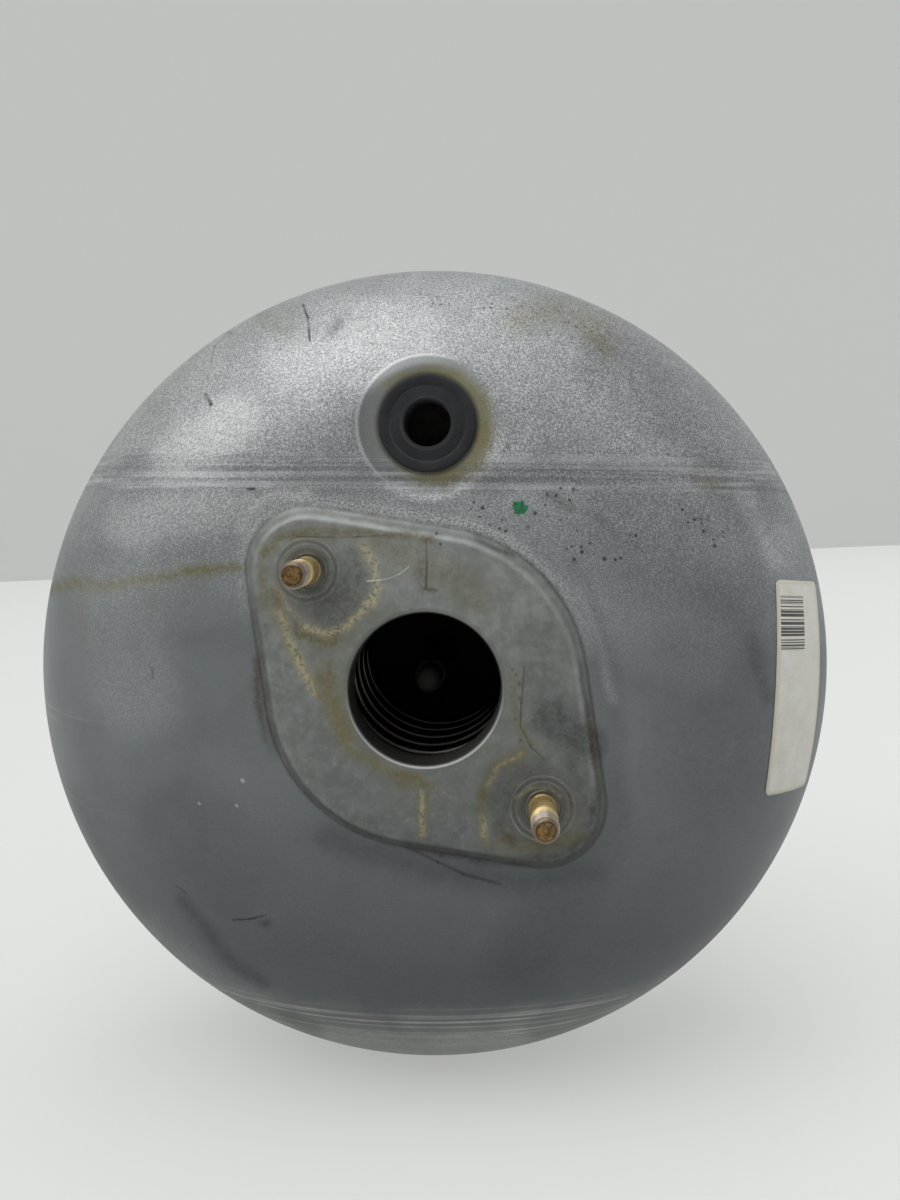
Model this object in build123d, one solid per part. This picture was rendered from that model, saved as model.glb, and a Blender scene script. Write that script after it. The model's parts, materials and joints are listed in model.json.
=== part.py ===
from build123d import *
import math
import os

# Single-diaphragm vacuum brake booster, in millimetres. The axis runs along Y: the master-cylinder
# side faces -Y, the bulkhead side +Y, and +Z is up. The origin is the centre of the bulkhead face.

# Overall
booster_depth = 112.0
shell_r = 138.0
sheet = 1.8
rear_sheet = 1.6
fit_gap = 0.1
running_gap = 0.05
soft_gap = 0.3

# Front shell
dome_r = 74.0
dome_turn = 59.73
shoulder_r = 30.0
plateau_height = 4.5
plateau_r = 46.0
lobe_r = 16.5
plateau_round = 3.0
bore_r = 22.75
lip_r = 2.0
collar_length = 12.0

# Master-cylinder studs
stud_pcd = 100.0
stud_angle = 135.0
stud_r = 4.0
stud_length = 20.0
stud_chamfer = 1.3
stud_collar = 1.45
stud_head_r = 9.0
stud_head = 2.8
plate_thickness = 3.0
plate_edge_gap = 2.4
coin_r = 9.6
coin_width = 1.0
coin_depth = 0.3

# Check-valve grommet and its pressed seat
port_height = 80.0
seat_r = 19.4
seat_depth = 8.0
grommet_r = 15.0
grommet_flange = 2.6
grommet_neck_r = 11.0
grommet_tail_r = 13.0
grommet_tail = 4.0
grommet_bore_r = 7.15
grommet_length = 16.0
grommet_rim = 0.9
grommet_dish = 1.2

# Crimped rim
rim_overhang = 4.2
rim_y = -27.2
bead_length = 5.0
bead_depth = 4.9
tab_count = 18
tab_width = 14.0
ledge_bend = 1.2
skirt_bend = 1.8

# Rear shell
rear_step = 3.0
rear_cone_width = 23.0
rear_flat_margin = 5.0
rear_cone_drop = 5.0
rear_wall_end = -14.0
rear_shoulder = 10.0
rear_round = 20.0
neck_annulus = 9.4
neck_lip = 3.5
neck_root = 2.0
neck_bend = 0.6
bulkhead_spacing_x = 80.0
bulkhead_spacing_z = 80.0
bulkhead_stud_length = 26.0
rear_plate_margin = 3.4
rear_plate_gap = 0.6

# Hub bush and seal
bush_length = 13.2
seal_length = 10.0
seal_lip = 3.5
lip_land = 1.0
washer_thickness = 2.0
washer_gap = 2.0

# Power piston
tail_r = 19.0
tail_mouth = 2.0
hub_front = -32.0
hub_flange = 3.6
groove_r = 31.0
groove_depth = 5.0
groove_length = 7.4
hub_back = 3.0
hub_taper = 8.0
pocket_r = 12.6
reaction_thickness = 6.0
rod_head = 4.0
chamber_r = 15.5
chamber_gap = 1.9
seat_gap = 0.4
seat_inset = 1.6
seat_rim_width = 1.5
seat_rim_height = 1.7
vacuum_port_r = 1.8
vacuum_port_start_r = 20.5
vacuum_port_inset = 0.7
mouth_chamfer = 0.8

# Diaphragm and its steel plate
plate_sheet = 1.5
fold_width = 21.6
piston_plate_rim = 14.0
piston_plate_round = 6.0
rubber = 1.6
fold_reach = 14.8
fold_gap = 2.6
fold_round = 8.0
hub_bead = 4.0

# Output pushrod
rod_r = 5.0
rod_front = 30.0
rod_fillet = 2.0
adjuster_hex = 9.0
adjuster_hex_length = 5.0
adjuster_nose_r = 4.0
adjuster_front = 13.0
adjuster_thread_r = 3.0
adjuster_thread_length = 14.0
retainer_sheet = 1.2
retainer_margin = 2.3
retainer_hold = 0.6

# Return spring
spring_gap = 1.05
spring_wire_r = 1.8
spring_pitch = 11.0

# Control valve
plunger_nose_r = 6.0
plunger_guide_r = 8.5
plunger_guide = 2.8
plunger_neck_r = 4.5
plunger_flange_reach = 1.7
plunger_flange = 1.5
plunger_rim_width = 0.4
plunger_sleeve_wall = 2.4
plunger_sleeve = 6.0
valve_travel = 2.0
key_back = -3.5
key_thickness = 2.5
key_width = 16.0
key_r = 23.0
key_play = 0.2
ball_offset = 0.5
ball_r = 5.0
socket_lip = 0.25
poppet_clearance = 0.9
poppet_thickness = 2.4
poppet_gap = 0.1
bellows_wall = 1.0
poppet_sleeve = 9.5
poppet_bead = 4.0
retainer_ring_wall = 1.0
retainer_ring_reach = 5.0
retainer_ring_lip = 1.5
retainer_ring_bore = 0.3
poppet_spring_gap = 2.3
poppet_spring_wire_r = 0.45
poppet_spring_turns = 4.5

# Input rod
input_neck_play = 0.5
input_rod_r = 5.0
rod_spring_length = 24.0
rod_seat_gap = 3.3
rod_seat = 1.5
rod_spring_r = 10.2
rod_spring_wire_r = 0.7
rod_spring_turns = 6.0
rod_chamfer = 1.0
nut_across = 17.0
nut_thickness = 6.0
nut_gap = 2.0
nut_chamfer = 0.9
clevis_start = 110.0
clevis_base = 14.0
clevis_width = 27.0
clevis_gap = 15.0
clevis_height = 22.0
clevis_round = 3.0
pin_r = 5.0
pin_reach = 22.0

# Air intake
felt_gap = 2.5
felt_length = 4.0
filter_length = 14.0
filter_bore_r = 8.6
filter_cap = 3.0
filter_cap_bore_r = 10.0
filter_window_r = 1.2
filter_windows = 12

# Dust boot
boot_wall = 1.2
boot_setback = 1.1
boot_collar = 8.5
boot_cuff = 8.0
boot_crest = 0.3
boot_trough = 0.8
boot_folds = 5
boot_fold_depth = 5.0

# Front shell face and crimped rim
flange_y = -booster_depth
dome_y = flange_y + plateau_height
shoulder_centre_r = shell_r - shoulder_r
dome_centre_y = dome_y + dome_r
dome_flat_r = shoulder_centre_r - (dome_r - shoulder_r) * math.sin(math.radians(dome_turn))
shoulder_centre_y = dome_centre_y - (dome_r - shoulder_r) * math.cos(math.radians(dome_turn))
stud_collar_r = stud_r + stud_collar
skirt_r = shell_r + rim_overhang
bead_front = rim_y - bead_length
rim_front = bead_front - sheet
bead_r = skirt_r - rear_sheet - soft_gap
tab_reach = skirt_r - rear_sheet - shell_r - soft_gap
rear_wall_r = shell_r - rear_step
rear_cone_r = rear_wall_r - rear_cone_width
rear_plate_r = math.hypot(bulkhead_spacing_x, bulkhead_spacing_z) / 2 + stud_head_r + rear_plate_margin
rear_flat_r = rear_plate_r + rear_flat_margin
neck_inner_r = tail_r + neck_annulus
neck_r = neck_inner_r + rear_sheet
rear_plate_bore_r = neck_r + neck_root + rear_plate_gap
rear_plate_front = -rear_sheet - plate_thickness
port_y = flange_y + seat_depth
front_plate_back = flange_y + sheet + plate_thickness
spring_r = bore_r + sheet + spring_gap + spring_wire_r

# Hub and diaphragm
hub_r = groove_r + groove_depth
hub_bead_r = groove_r + hub_bead
plate_face_y = hub_front + hub_flange
plate_back_y = plate_face_y + plate_sheet
groove_back = plate_face_y + groove_length
pocket_floor = hub_front + rod_head + reaction_thickness
retainer_front = hub_front - retainer_sheet
retainer_r = spring_r + spring_wire_r + retainer_margin
retainer_bore_r = pocket_r - retainer_hold
fold_r = shell_r - sheet - fold_gap
fold_front = bead_front - fold_reach
piston_plate_r = fold_r - fold_width

# Valve chamber, from the key backwards
plunger_shoulder = key_back - key_thickness - key_play
plunger_guide_start = key_back + key_play + valve_travel
flange_start = plunger_guide_start + plunger_guide
plunger_rim_y = flange_start + plunger_flange
sleeve_end = plunger_rim_y + plunger_sleeve
plunger_sleeve_r = ball_r + plunger_sleeve_wall
poppet_bore_r = plunger_sleeve_r + poppet_clearance
plunger_rim_r = poppet_bore_r + plunger_rim_width
plunger_flange_r = poppet_bore_r + plunger_flange_reach
plunger_nose_y = pocket_floor + valve_travel + soft_gap
poppet_face_r = chamber_r - chamber_gap
poppet_face_y = plunger_rim_y + poppet_gap
poppet_back = poppet_face_y + poppet_thickness
poppet_bead_y = poppet_back + poppet_sleeve
vacuum_seat_r = poppet_face_r - seat_inset
vacuum_port_end_r = chamber_r - vacuum_port_inset
seat_y = poppet_face_y - seat_gap
chamber_floor = seat_y - seat_rim_height
ring_back = poppet_bead_y + poppet_bead
retainer_ring_back = ring_back + retainer_ring_lip
spring_seat_y = retainer_ring_back + retainer_ring_lip
retainer_ring_r = poppet_face_r - 2 * soft_gap
poppet_spring_r = poppet_bore_r + poppet_spring_gap

# Hub bush, seal and neck
bush_front = key_back + soft_gap
seal_front = bush_front + bush_length
washer_front = seal_front + seal_length
neck_length = washer_front + washer_thickness + rear_sheet
seal_ring_r = tail_r + seal_lip

# Input rod and air intake
ball_y = plunger_rim_y + ball_offset
socket_mouth_r = ball_r - socket_lip
input_neck_r = socket_mouth_r - input_neck_play
input_shoulder = spring_seat_y + rod_spring_length + rod_seat
rod_seat_r = chamber_r - rod_seat_gap
rod_end = clevis_start + clevis_base
nut_y = clevis_start - nut_gap - nut_thickness
felt_front = input_shoulder + felt_gap
filter_start = felt_front + felt_length
cap_start = filter_start + filter_length
tail_end = cap_start + filter_cap + tail_mouth
boot_fold_start = neck_length - boot_setback
boot_cuff_start = tail_end - boot_cuff


def turned(*corners):
    """A solid of revolution about the axis from an outline of (radius, y) corners."""
    return revolve(make_face(Polyline(*corners, close=True)), Axis.Y)


def ring(outer_r, inner_r, start, end):
    """A plain round ring or, with no inner radius, a disc."""
    return turned((inner_r, start), (outer_r, start), (outer_r, end), (inner_r, end))


def pressed_skin(path, wall):
    """Sheet of even thickness turned about the axis, to the left of the path of its outer face."""
    outline = offset(path, amount=wall, side=Side.LEFT, closed=True)
    return revolve(make_face(outline.edges()), Axis.Y)


def along_axis(face, start):
    """Places a face at the given y so that it looks along -Y, with its own up kept at +Z."""
    return Plane(origin=(0, start, 0), x_dir=(1, 0, 0), z_dir=(0, -1, 0)) * face


def hex_bar(across, start, end):
    """A hexagon bar along the axis."""
    hexagon = RegularPolygon(across / 2, 6, major_radius=False)
    return extrude(along_axis(hexagon, end), end - start)


def coil(mean_r, wire, start, end, turns):
    """A compression spring of the given wire section between two y positions."""
    wire_r = wire.bounding_box().size.X / 2
    length = end - start - 2 * wire_r
    line = Helix(pitch=length / turns, height=length, radius=mean_r)
    section = Plane(origin=line @ 0, z_dir=line % 0) * wire
    spring = sweep(section, path=line, is_frenet=True)
    return Pos(0, start + wire_r, 0) * Rot(-90, 0, 0) * spring


def lozenge(grow):
    """The three-circle outline of the flange plateau, grown or shrunk all round."""
    lobe = PolarLocations(stud_pcd / 2, 2, start_angle=stud_angle) * Circle(lobe_r + grow)
    return make_hull((Circle(plateau_r + grow) + lobe).edges())


def at_studs(solid):
    """Copies a solid made on the axis to both master-cylinder studs."""
    half = stud_pcd / 2
    places = [math.radians(stud_angle + turn) for turn in (0, 180)]
    return [Pos(half * math.cos(a), 0, half * math.sin(a)) * solid for a in places]


def at_bulkhead(solid):
    """Copies a solid made on the axis to the four bulkhead studs."""
    half_x, half_z = bulkhead_spacing_x / 2, bulkhead_spacing_z / 2
    return [Pos(x, 0, z) * solid for x in (-half_x, half_x) for z in (-half_z, half_z)]


neck_zone = ring(2 * neck_r, 0, neck_root, 2 * neck_length)


def front_form(skin):
    """Everything behind the front shell's face, taken the given depth under its outer skin."""
    flat = Line((0, dome_y + skin), (dome_flat_r, dome_y + skin))
    dome = CenterArc((dome_flat_r, dome_centre_y), dome_r - skin, -90, dome_turn)
    shoulder = CenterArc(
        (shoulder_centre_r, shoulder_centre_y), shoulder_r - skin, dome_turn - 90, 90 - dome_turn)
    wall = Polyline(shoulder @ 1, (shell_r - skin, bead_front), (0, bead_front), flat @ 0)
    body = revolve(make_face([flat, dome, shoulder, *wall.edges()]), Axis.Y)

    top = lozenge(-skin * math.tan(math.radians(22.5)))
    raised = extrude(along_axis(top, flange_y + skin), -2 * plateau_height, taper=-45)
    raised = fillet(raised.faces().sort_by(Axis.Y)[0].edges(), plateau_round - skin / 2)
    body = body + raised

    seat = port_y + skin
    reach = 2 * seat_depth
    wide, narrow = seat_r + skin, seat_r - skin
    recess = turned((0, seat), (wide, seat), (wide + reach, seat - reach), (0, seat - reach))
    boss = turned((0, seat), (narrow, seat), (narrow + reach, seat + reach), (0, seat + reach))
    away = Pos(0, 0, port_height)
    keep = body & ring(shell_r, 0, flange_y, bead_front)
    return keep - away * recess + (away * boss & ring(shell_r - shoulder_r, 0, seat, bead_front))


def make_front_shell():
    shell = front_form(0) - front_form(sheet)
    flange_r = skirt_r - rear_sheet - fit_gap
    shell = shell + ring(flange_r, shell_r - sheet, rim_front, bead_front)
    collar_end = flange_y + collar_length
    shell = shell + ring(bore_r + sheet, 0, flange_y + sheet / 2, collar_end)
    roll_r = bore_r + lip_r
    mouth = turned(
        (0, flange_y - lip_r), (roll_r, flange_y - lip_r), (roll_r, flange_y + lip_r),
        (bore_r, flange_y + lip_r), (bore_r, collar_end + lip_r), (0, collar_end + lip_r),
    )
    shell = shell - (mouth - revolve(Pos(roll_r, flange_y + lip_r) * Circle(lip_r), Axis.Y))
    port = ring(grommet_neck_r + running_gap, 0, port_y - sheet, port_y + 2 * sheet)
    shell = shell - Pos(0, 0, port_height) * port
    for hole in at_studs(ring(stud_collar_r + running_gap, 0, flange_y - sheet, flange_y + 2 * sheet)):
        shell = shell - hole
    coin = ring(coin_r, stud_collar_r, flange_y - sheet, flange_y + coin_depth)
    for ditch in at_studs(coin - ring(coin_r - coin_width, 0, flange_y - sheet, flange_y + sheet)):
        shell = shell - ditch
    return shell


def rear_pressing():
    """The turned rear cup with its neck in one sheet, before tabs and stud holes."""
    ledge = rim_y + rear_sheet
    outer_bend = rear_sheet + neck_bend
    path = FilletPolyline(
        (skirt_r, rim_front), (skirt_r, ledge), (rear_wall_r, ledge), (rear_wall_r, rear_wall_end),
        (rear_cone_r, -rear_cone_drop), (rear_flat_r, 0), (neck_r, 0), (neck_r, neck_length),
        (neck_r - neck_lip, neck_length),
        radius=[skirt_bend, ledge_bend, rear_shoulder, rear_round, rear_round, neck_root, outer_bend],
    )
    return pressed_skin(path, rear_sheet)


def make_rear_shell():
    shell = rear_pressing() - neck_zone
    band = ring(skirt_r, skirt_r - rear_sheet - tab_reach, rim_front - rear_sheet, rim_front)
    tab = Pos(skirt_r, rim_front, 0) * Box(4 * tab_reach, 4 * rear_sheet, tab_width)
    for k in range(tab_count):
        shell = shell + (band & Rot(0, (k + 0.5) * 360 / tab_count, 0) * tab)
    for hole in at_bulkhead(ring(stud_collar_r + running_gap, 0, -2 * rear_sheet, rear_sheet)):
        shell = shell - hole
    return shell


def make_rear_neck():
    """The tube welded to the rear shell's short root, which carries the hub's bush and seal."""
    return rear_pressing() & neck_zone


def pressed_stud(length, collar, head):
    """A stud on the axis: threaded shank towards -Y, pressed collar from y 0, then its flat head."""
    return turned(
        (0, -length), (stud_r - stud_chamfer, -length), (stud_r, stud_chamfer - length),
        (stud_r, 0), (stud_collar_r, 0), (stud_collar_r, collar), (stud_head_r, collar),
        (stud_head_r, collar + head), (0, collar + head),
    )


def make_master_cylinder_studs():
    stud = pressed_stud(stud_length, sheet + plate_thickness, stud_head)
    return Compound(at_studs(Pos(0, flange_y, 0) * stud))


def make_bulkhead_studs():
    stud = pressed_stud(bulkhead_stud_length, rear_sheet + plate_thickness, stud_head)
    return Compound(at_bulkhead(Rot(0, 0, 180) * stud))


def make_front_plate():
    """The stiffening plate under the plateau, which the stud heads and the return spring bear on."""
    front = flange_y + sheet
    plate = extrude(along_axis(lozenge(-plate_edge_gap), front), -plate_thickness)
    plate = plate - ring(bore_r + sheet + fit_gap, 0, front - 1, front_plate_back + 1)
    for hole in at_studs(ring(stud_collar_r + running_gap, 0, front - 1, front_plate_back + 1)):
        plate = plate - hole
    return plate


def make_rear_plate():
    plate = ring(rear_plate_r, rear_plate_bore_r, rear_plate_front, -rear_sheet)
    for hole in at_bulkhead(ring(stud_collar_r + running_gap, 0, rear_plate_front - 1, 1)):
        plate = plate - hole
    return plate


def make_grommet():
    """A flanged rubber bush that snaps into the shell's round hole and takes the check valve."""
    outer = port_y - grommet_flange
    inner = port_y + sheet
    back = outer + grommet_length
    bush = turned(
        (grommet_bore_r, outer + grommet_dish), (grommet_bore_r + grommet_rim, outer + grommet_dish),
        (grommet_bore_r + 2 * grommet_rim, outer), (grommet_r - grommet_rim, outer),
        (grommet_r, outer + grommet_rim), (grommet_r, port_y), (grommet_neck_r, port_y),
        (grommet_neck_r, inner), (grommet_tail_r, inner), (grommet_tail_r, inner + grommet_rim),
        (grommet_bore_r + 2 * grommet_rim, back), (grommet_bore_r, back),
    )
    return Pos(0, 0, port_height) * bush


def make_guide_bush():
    return ring(neck_inner_r - fit_gap, tail_r + running_gap, bush_front, seal_front)


def make_lip_seal():
    """Rubber ring with two lips that wipe the valve body's tail."""
    outer = neck_inner_r - fit_gap
    inner = tail_r + running_gap
    middle = seal_front + seal_length / 2
    return turned(
        (outer, seal_front), (outer, washer_front), (seal_ring_r, washer_front),
        (inner, washer_front - lip_land), (inner, washer_front - 2 * lip_land), (seal_ring_r, middle),
        (inner, seal_front + 2 * lip_land), (inner, seal_front + lip_land), (seal_ring_r, seal_front),
    )


def make_seal_washer():
    return ring(neck_inner_r - neck_bend, tail_r + washer_gap, washer_front, neck_length - rear_sheet)


def make_diaphragm():
    """Rolling rubber diaphragm: rim bead, fold in front of the ledge, plate face and hub bead."""
    bead = ring(bead_r, bead_r - bead_depth, bead_front, rim_y)
    inner_r = piston_plate_r + soft_gap + rubber
    web = bead_front + bead_length / 2 + rubber / 2
    back = plate_back_y + rubber
    path = FilletPolyline(
        (bead_r - bead_depth / 2, web), (fold_r, web), (fold_r, fold_front), (inner_r, fold_front),
        (inner_r, back), (groove_r + fit_gap, back),
        radius=[1.8 * rubber, fold_round, fold_round, piston_plate_round + rubber],
    )
    inner_bead = ring(hub_bead_r, groove_r + fit_gap, plate_back_y, groove_back)
    return bead + pressed_skin(path, rubber) + inner_bead


def make_valve_body():
    """Moulded hub and tail with the stepped bore of the control valve, key slot and vacuum ports."""
    hub_end = groove_back + hub_back
    body = turned(
        (0, hub_front), (hub_r, hub_front), (hub_r, plate_face_y), (groove_r, plate_face_y),
        (groove_r, groove_back), (hub_r, groove_back), (hub_r, hub_end),
        (tail_r, hub_end + hub_taper), (tail_r, tail_end), (0, tail_end),
    )
    relief = flange_start - valve_travel - key_play
    nose_bore_r = plunger_nose_r + running_gap
    guide_bore_r = plunger_guide_r + running_gap
    bore = turned(
        (0, hub_front - 1), (pocket_r, hub_front - 1), (pocket_r, pocket_floor),
        (nose_bore_r, pocket_floor), (nose_bore_r, plunger_shoulder - key_play),
        (guide_bore_r, plunger_shoulder - key_play), (guide_bore_r, relief),
        (plunger_flange_r + soft_gap, relief), (plunger_flange_r + soft_gap, chamber_floor),
        (vacuum_seat_r - seat_rim_width / 2, chamber_floor), (vacuum_seat_r - seat_rim_width / 2, seat_y),
        (vacuum_seat_r + seat_rim_width / 2, seat_y), (vacuum_seat_r + seat_rim_width / 2, chamber_floor),
        (chamber_r, chamber_floor), (chamber_r, tail_end - mouth_chamfer),
        (chamber_r + mouth_chamfer, tail_end), (chamber_r + mouth_chamfer, tail_end + 1), (0, tail_end + 1),
    )
    body = body - bore
    slot = Box(2 * hub_r, key_thickness + 2 * key_play, key_width + 2 * key_play)
    body = body - Pos(0, key_back - key_thickness / 2, 0) * slot
    for side in (-1, 1):
        start = Vector(0, hub_front - 1, side * vacuum_port_start_r)
        run = Vector(0, chamber_floor + 1, side * vacuum_port_end_r) - start
        port = extrude(Plane(origin=start, z_dir=run) * Circle(vacuum_port_r), run.length)
        body = body - port
    return body


def make_valve_key():
    """Flat fork that straddles the plunger's neck and limits its travel in the valve body."""
    key = Box(2 * key_r, key_thickness, key_width)
    reach = key_r + plunger_neck_r + key_play
    gap = Pos(plunger_neck_r + key_play - reach / 2, 0, 0) * Box(
        reach, 2 * key_thickness, 2 * (plunger_neck_r + key_play))
    gap = fillet(gap.edges().filter_by(Axis.Y).group_by(Axis.X)[-1], plunger_neck_r)
    return Pos(0, key_back - key_thickness / 2, 0) * (key - gap)


def make_plunger():
    """Valve plunger: nose, key neck, guide land, the air-valve rim and the socket for the rod's ball."""
    recess = plunger_rim_y - plunger_flange / 2
    plunger = turned(
        (0, plunger_nose_y), (plunger_nose_r, plunger_nose_y), (plunger_nose_r, plunger_shoulder),
        (plunger_neck_r, plunger_shoulder), (plunger_neck_r, plunger_guide_start),
        (plunger_guide_r, plunger_guide_start), (plunger_guide_r, flange_start),
        (plunger_flange_r, flange_start), (plunger_flange_r, plunger_rim_y), (plunger_rim_r, plunger_rim_y),
        (plunger_rim_r, recess), (plunger_sleeve_r, recess), (plunger_sleeve_r, sleeve_end), (0, sleeve_end),
    )
    socket = Pos(0, ball_y, 0) * Sphere(ball_r + running_gap)
    mouth = ring(socket_mouth_r, 0, ball_y, sleeve_end + 1)
    return plunger - socket - mouth


def make_poppet():
    """Rubber poppet: flat sealing face, thin sleeve and the bead clamped in the valve body."""
    sleeve_r = poppet_face_r + bellows_wall - soft_gap
    return turned(
        (poppet_bore_r, poppet_face_y), (poppet_face_r, poppet_face_y), (sleeve_r, poppet_back),
        (sleeve_r, poppet_bead_y), (chamber_r - fit_gap, poppet_bead_y), (chamber_r - fit_gap, ring_back),
        (poppet_face_r - soft_gap, ring_back), (poppet_face_r - soft_gap, poppet_back),
        (poppet_bore_r, poppet_back),
    )


def make_poppet_retainer():
    """Pressed ring that clamps the poppet bead and seats both valve springs."""
    inner = retainer_ring_r - retainer_ring_wall
    bore = poppet_bore_r + retainer_ring_bore
    front = poppet_bead_y - retainer_ring_reach
    return turned(
        (inner, front), (retainer_ring_r, front), (retainer_ring_r, ring_back),
        (chamber_r - fit_gap, ring_back), (chamber_r - fit_gap, retainer_ring_back),
        (retainer_ring_r, retainer_ring_back), (retainer_ring_r, spring_seat_y), (bore, spring_seat_y),
        (bore, retainer_ring_back), (inner, retainer_ring_back),
    )


def make_pushrod():
    """Output pushrod with a broad head on the reaction disc and a tapped front end."""
    head_y = hub_front + rod_head
    rod = turned(
        (0, head_y), (pocket_r - fit_gap, head_y), (pocket_r - fit_gap, hub_front),
        (rod_r + rod_fillet, hub_front), (rod_r, hub_front - rod_fillet),
        (rod_r, flange_y + rod_front), (0, flange_y + rod_front),
    )
    tap_end = flange_y + rod_front + adjuster_thread_length + 1
    tapped = ring(adjuster_thread_r + running_gap, 0, flange_y, tap_end)
    return rod - tapped


def make_adjuster():
    """Adjusting screw in the pushrod's front end, with a hexagon and a domed nose."""
    front = flange_y + adjuster_front
    back = flange_y + rod_front
    nose = ring(adjuster_nose_r, 0, front, back - adjuster_hex_length)
    nose = fillet(nose.edges().sort_by(Axis.Y)[0], adjuster_nose_r - 1)
    flats = hex_bar(adjuster_hex, back - adjuster_hex_length, back)
    return nose + flats + ring(adjuster_thread_r, 0, back, back + adjuster_thread_length)


def make_pushrod_retainer():
    """Pressed ring on the hub that holds the pushrod head and seats the return spring."""
    plate = ring(retainer_r, retainer_bore_r, retainer_front, hub_front)
    for side in (-1, 1):
        window = ring(vacuum_port_r + soft_gap, 0, retainer_front - 1, hub_front + 1)
        plate = plate - Pos(0, 0, side * vacuum_port_start_r) * window
    return plate


def make_reaction_disc():
    head_y = hub_front + rod_head
    return ring(pocket_r - fit_gap, 0, head_y, pocket_floor)


def make_piston_plate():
    """Pressed steel plate that carries the diaphragm, its rim curled forward."""
    path = FilletPolyline(
        (piston_plate_r, plate_back_y - piston_plate_rim), (piston_plate_r, plate_back_y),
        (groove_r + running_gap, plate_back_y), radius=piston_plate_round,
    )
    return pressed_skin(path, plate_sheet)


def make_return_spring():
    length = retainer_front - front_plate_back
    return coil(spring_r, Circle(spring_wire_r), front_plate_back, retainer_front, length / spring_pitch)


def fine_wire(wire_r):
    """The light eight-sided section of the two small valve springs."""
    return RegularPolygon(wire_r, 8)


def make_poppet_spring():
    wire = fine_wire(poppet_spring_wire_r)
    return coil(poppet_spring_r, wire, poppet_back, retainer_ring_back, poppet_spring_turns)


def make_rod_return_spring():
    end = input_shoulder - rod_seat
    return coil(rod_spring_r, fine_wire(rod_spring_wire_r), spring_seat_y, end, rod_spring_turns)


def make_rod_seat():
    return ring(rod_seat_r, input_neck_r + running_gap, input_shoulder - rod_seat, input_shoulder)


def make_input_rod():
    """Ball-ended rod with a thinner neck, a shoulder for the spring seat and a plain thread blank."""
    rod = ring(input_neck_r, 0, ball_y, input_shoulder) + Pos(0, ball_y, 0) * Sphere(ball_r)
    shank = ring(input_rod_r, 0, input_shoulder, rod_end)
    return rod + chamfer(shank.edges().sort_by(Axis.Y)[-1], rod_chamfer)


def make_lock_nut():
    bore = ring(input_rod_r + running_gap, 0, nut_y - 1, nut_y + nut_thickness + 1)
    nut = hex_bar(nut_across, nut_y, nut_y + nut_thickness) - bore
    blank = ring(nut_across / 2 / math.cos(math.pi / 6), 0, nut_y, nut_y + nut_thickness)
    return nut & chamfer(blank.edges().filter_by(GeomType.CIRCLE), nut_chamfer)


def make_clevis():
    """Forked end: tapped base, two round-ended ears and a cross hole for the pedal pin."""
    half = clevis_height / 2
    pin_y = clevis_start + clevis_base + pin_reach
    side = Pos(0, (clevis_start + pin_y) / 2, 0) * Box(clevis_width, pin_y - clevis_start, clevis_height)
    nose = Pos(0, pin_y, 0) * Rot(0, 90, 0) * Cylinder(half, clevis_width)
    fork = side + nose
    fork = fillet(fork.faces().sort_by(Axis.Y)[0].edges(), clevis_round)
    gap_end = pin_y + half + 1
    gap_start = clevis_start + clevis_base
    gap = Pos(0, (gap_start + gap_end) / 2, 0) * Box(clevis_gap, gap_end - gap_start, 2 * clevis_height)
    tapped = ring(input_rod_r + running_gap, 0, clevis_start - 1, gap_start + 1)
    pin = Pos(0, pin_y, 0) * Rot(0, 90, 0) * Cylinder(pin_r, 2 * clevis_width)
    return fork - gap - tapped - pin


def make_felt():
    return ring(chamber_r - fit_gap, filter_bore_r, felt_front, filter_start)


def make_filter():
    return ring(chamber_r - fit_gap, filter_bore_r, filter_start, cap_start)


def make_filter_cap():
    """Snap ring that closes the intake mouth, with spokes of air windows round its bore."""
    cap = ring(chamber_r - fit_gap, filter_cap_bore_r, cap_start, cap_start + filter_cap)
    window = ring(filter_window_r, 0, cap_start - 1, cap_start + filter_cap + 1)
    middle = (chamber_r + filter_cap_bore_r) / 2
    for k in range(filter_windows):
        angle = 2 * math.pi * k / filter_windows
        cap = cap - Pos(middle * math.cos(angle), 0, middle * math.sin(angle)) * window
    return cap


def make_boot():
    """Bellows from a collar on the shell's neck to a cuff on the valve body's tail."""
    collar_r = neck_r + fit_gap + boot_wall
    cuff_r = tail_r + soft_gap + boot_wall
    pitch = (boot_cuff_start - boot_fold_start) / boot_folds
    corners = [(collar_r, boot_fold_start - boot_collar), (collar_r, boot_fold_start)]
    for k in range(boot_folds):
        share = (k + 0.5) / boot_folds
        mean = collar_r + (cuff_r + boot_fold_depth - collar_r) * share
        corners.append((mean + boot_fold_depth / 2, boot_fold_start + (k + boot_crest) * pitch))
        corners.append((mean - boot_fold_depth / 2, boot_fold_start + (k + boot_trough) * pitch))
    corners += [(cuff_r, boot_cuff_start), (cuff_r, boot_cuff_start + boot_cuff)]
    return pressed_skin(Polyline(*corners), boot_wall)


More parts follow.
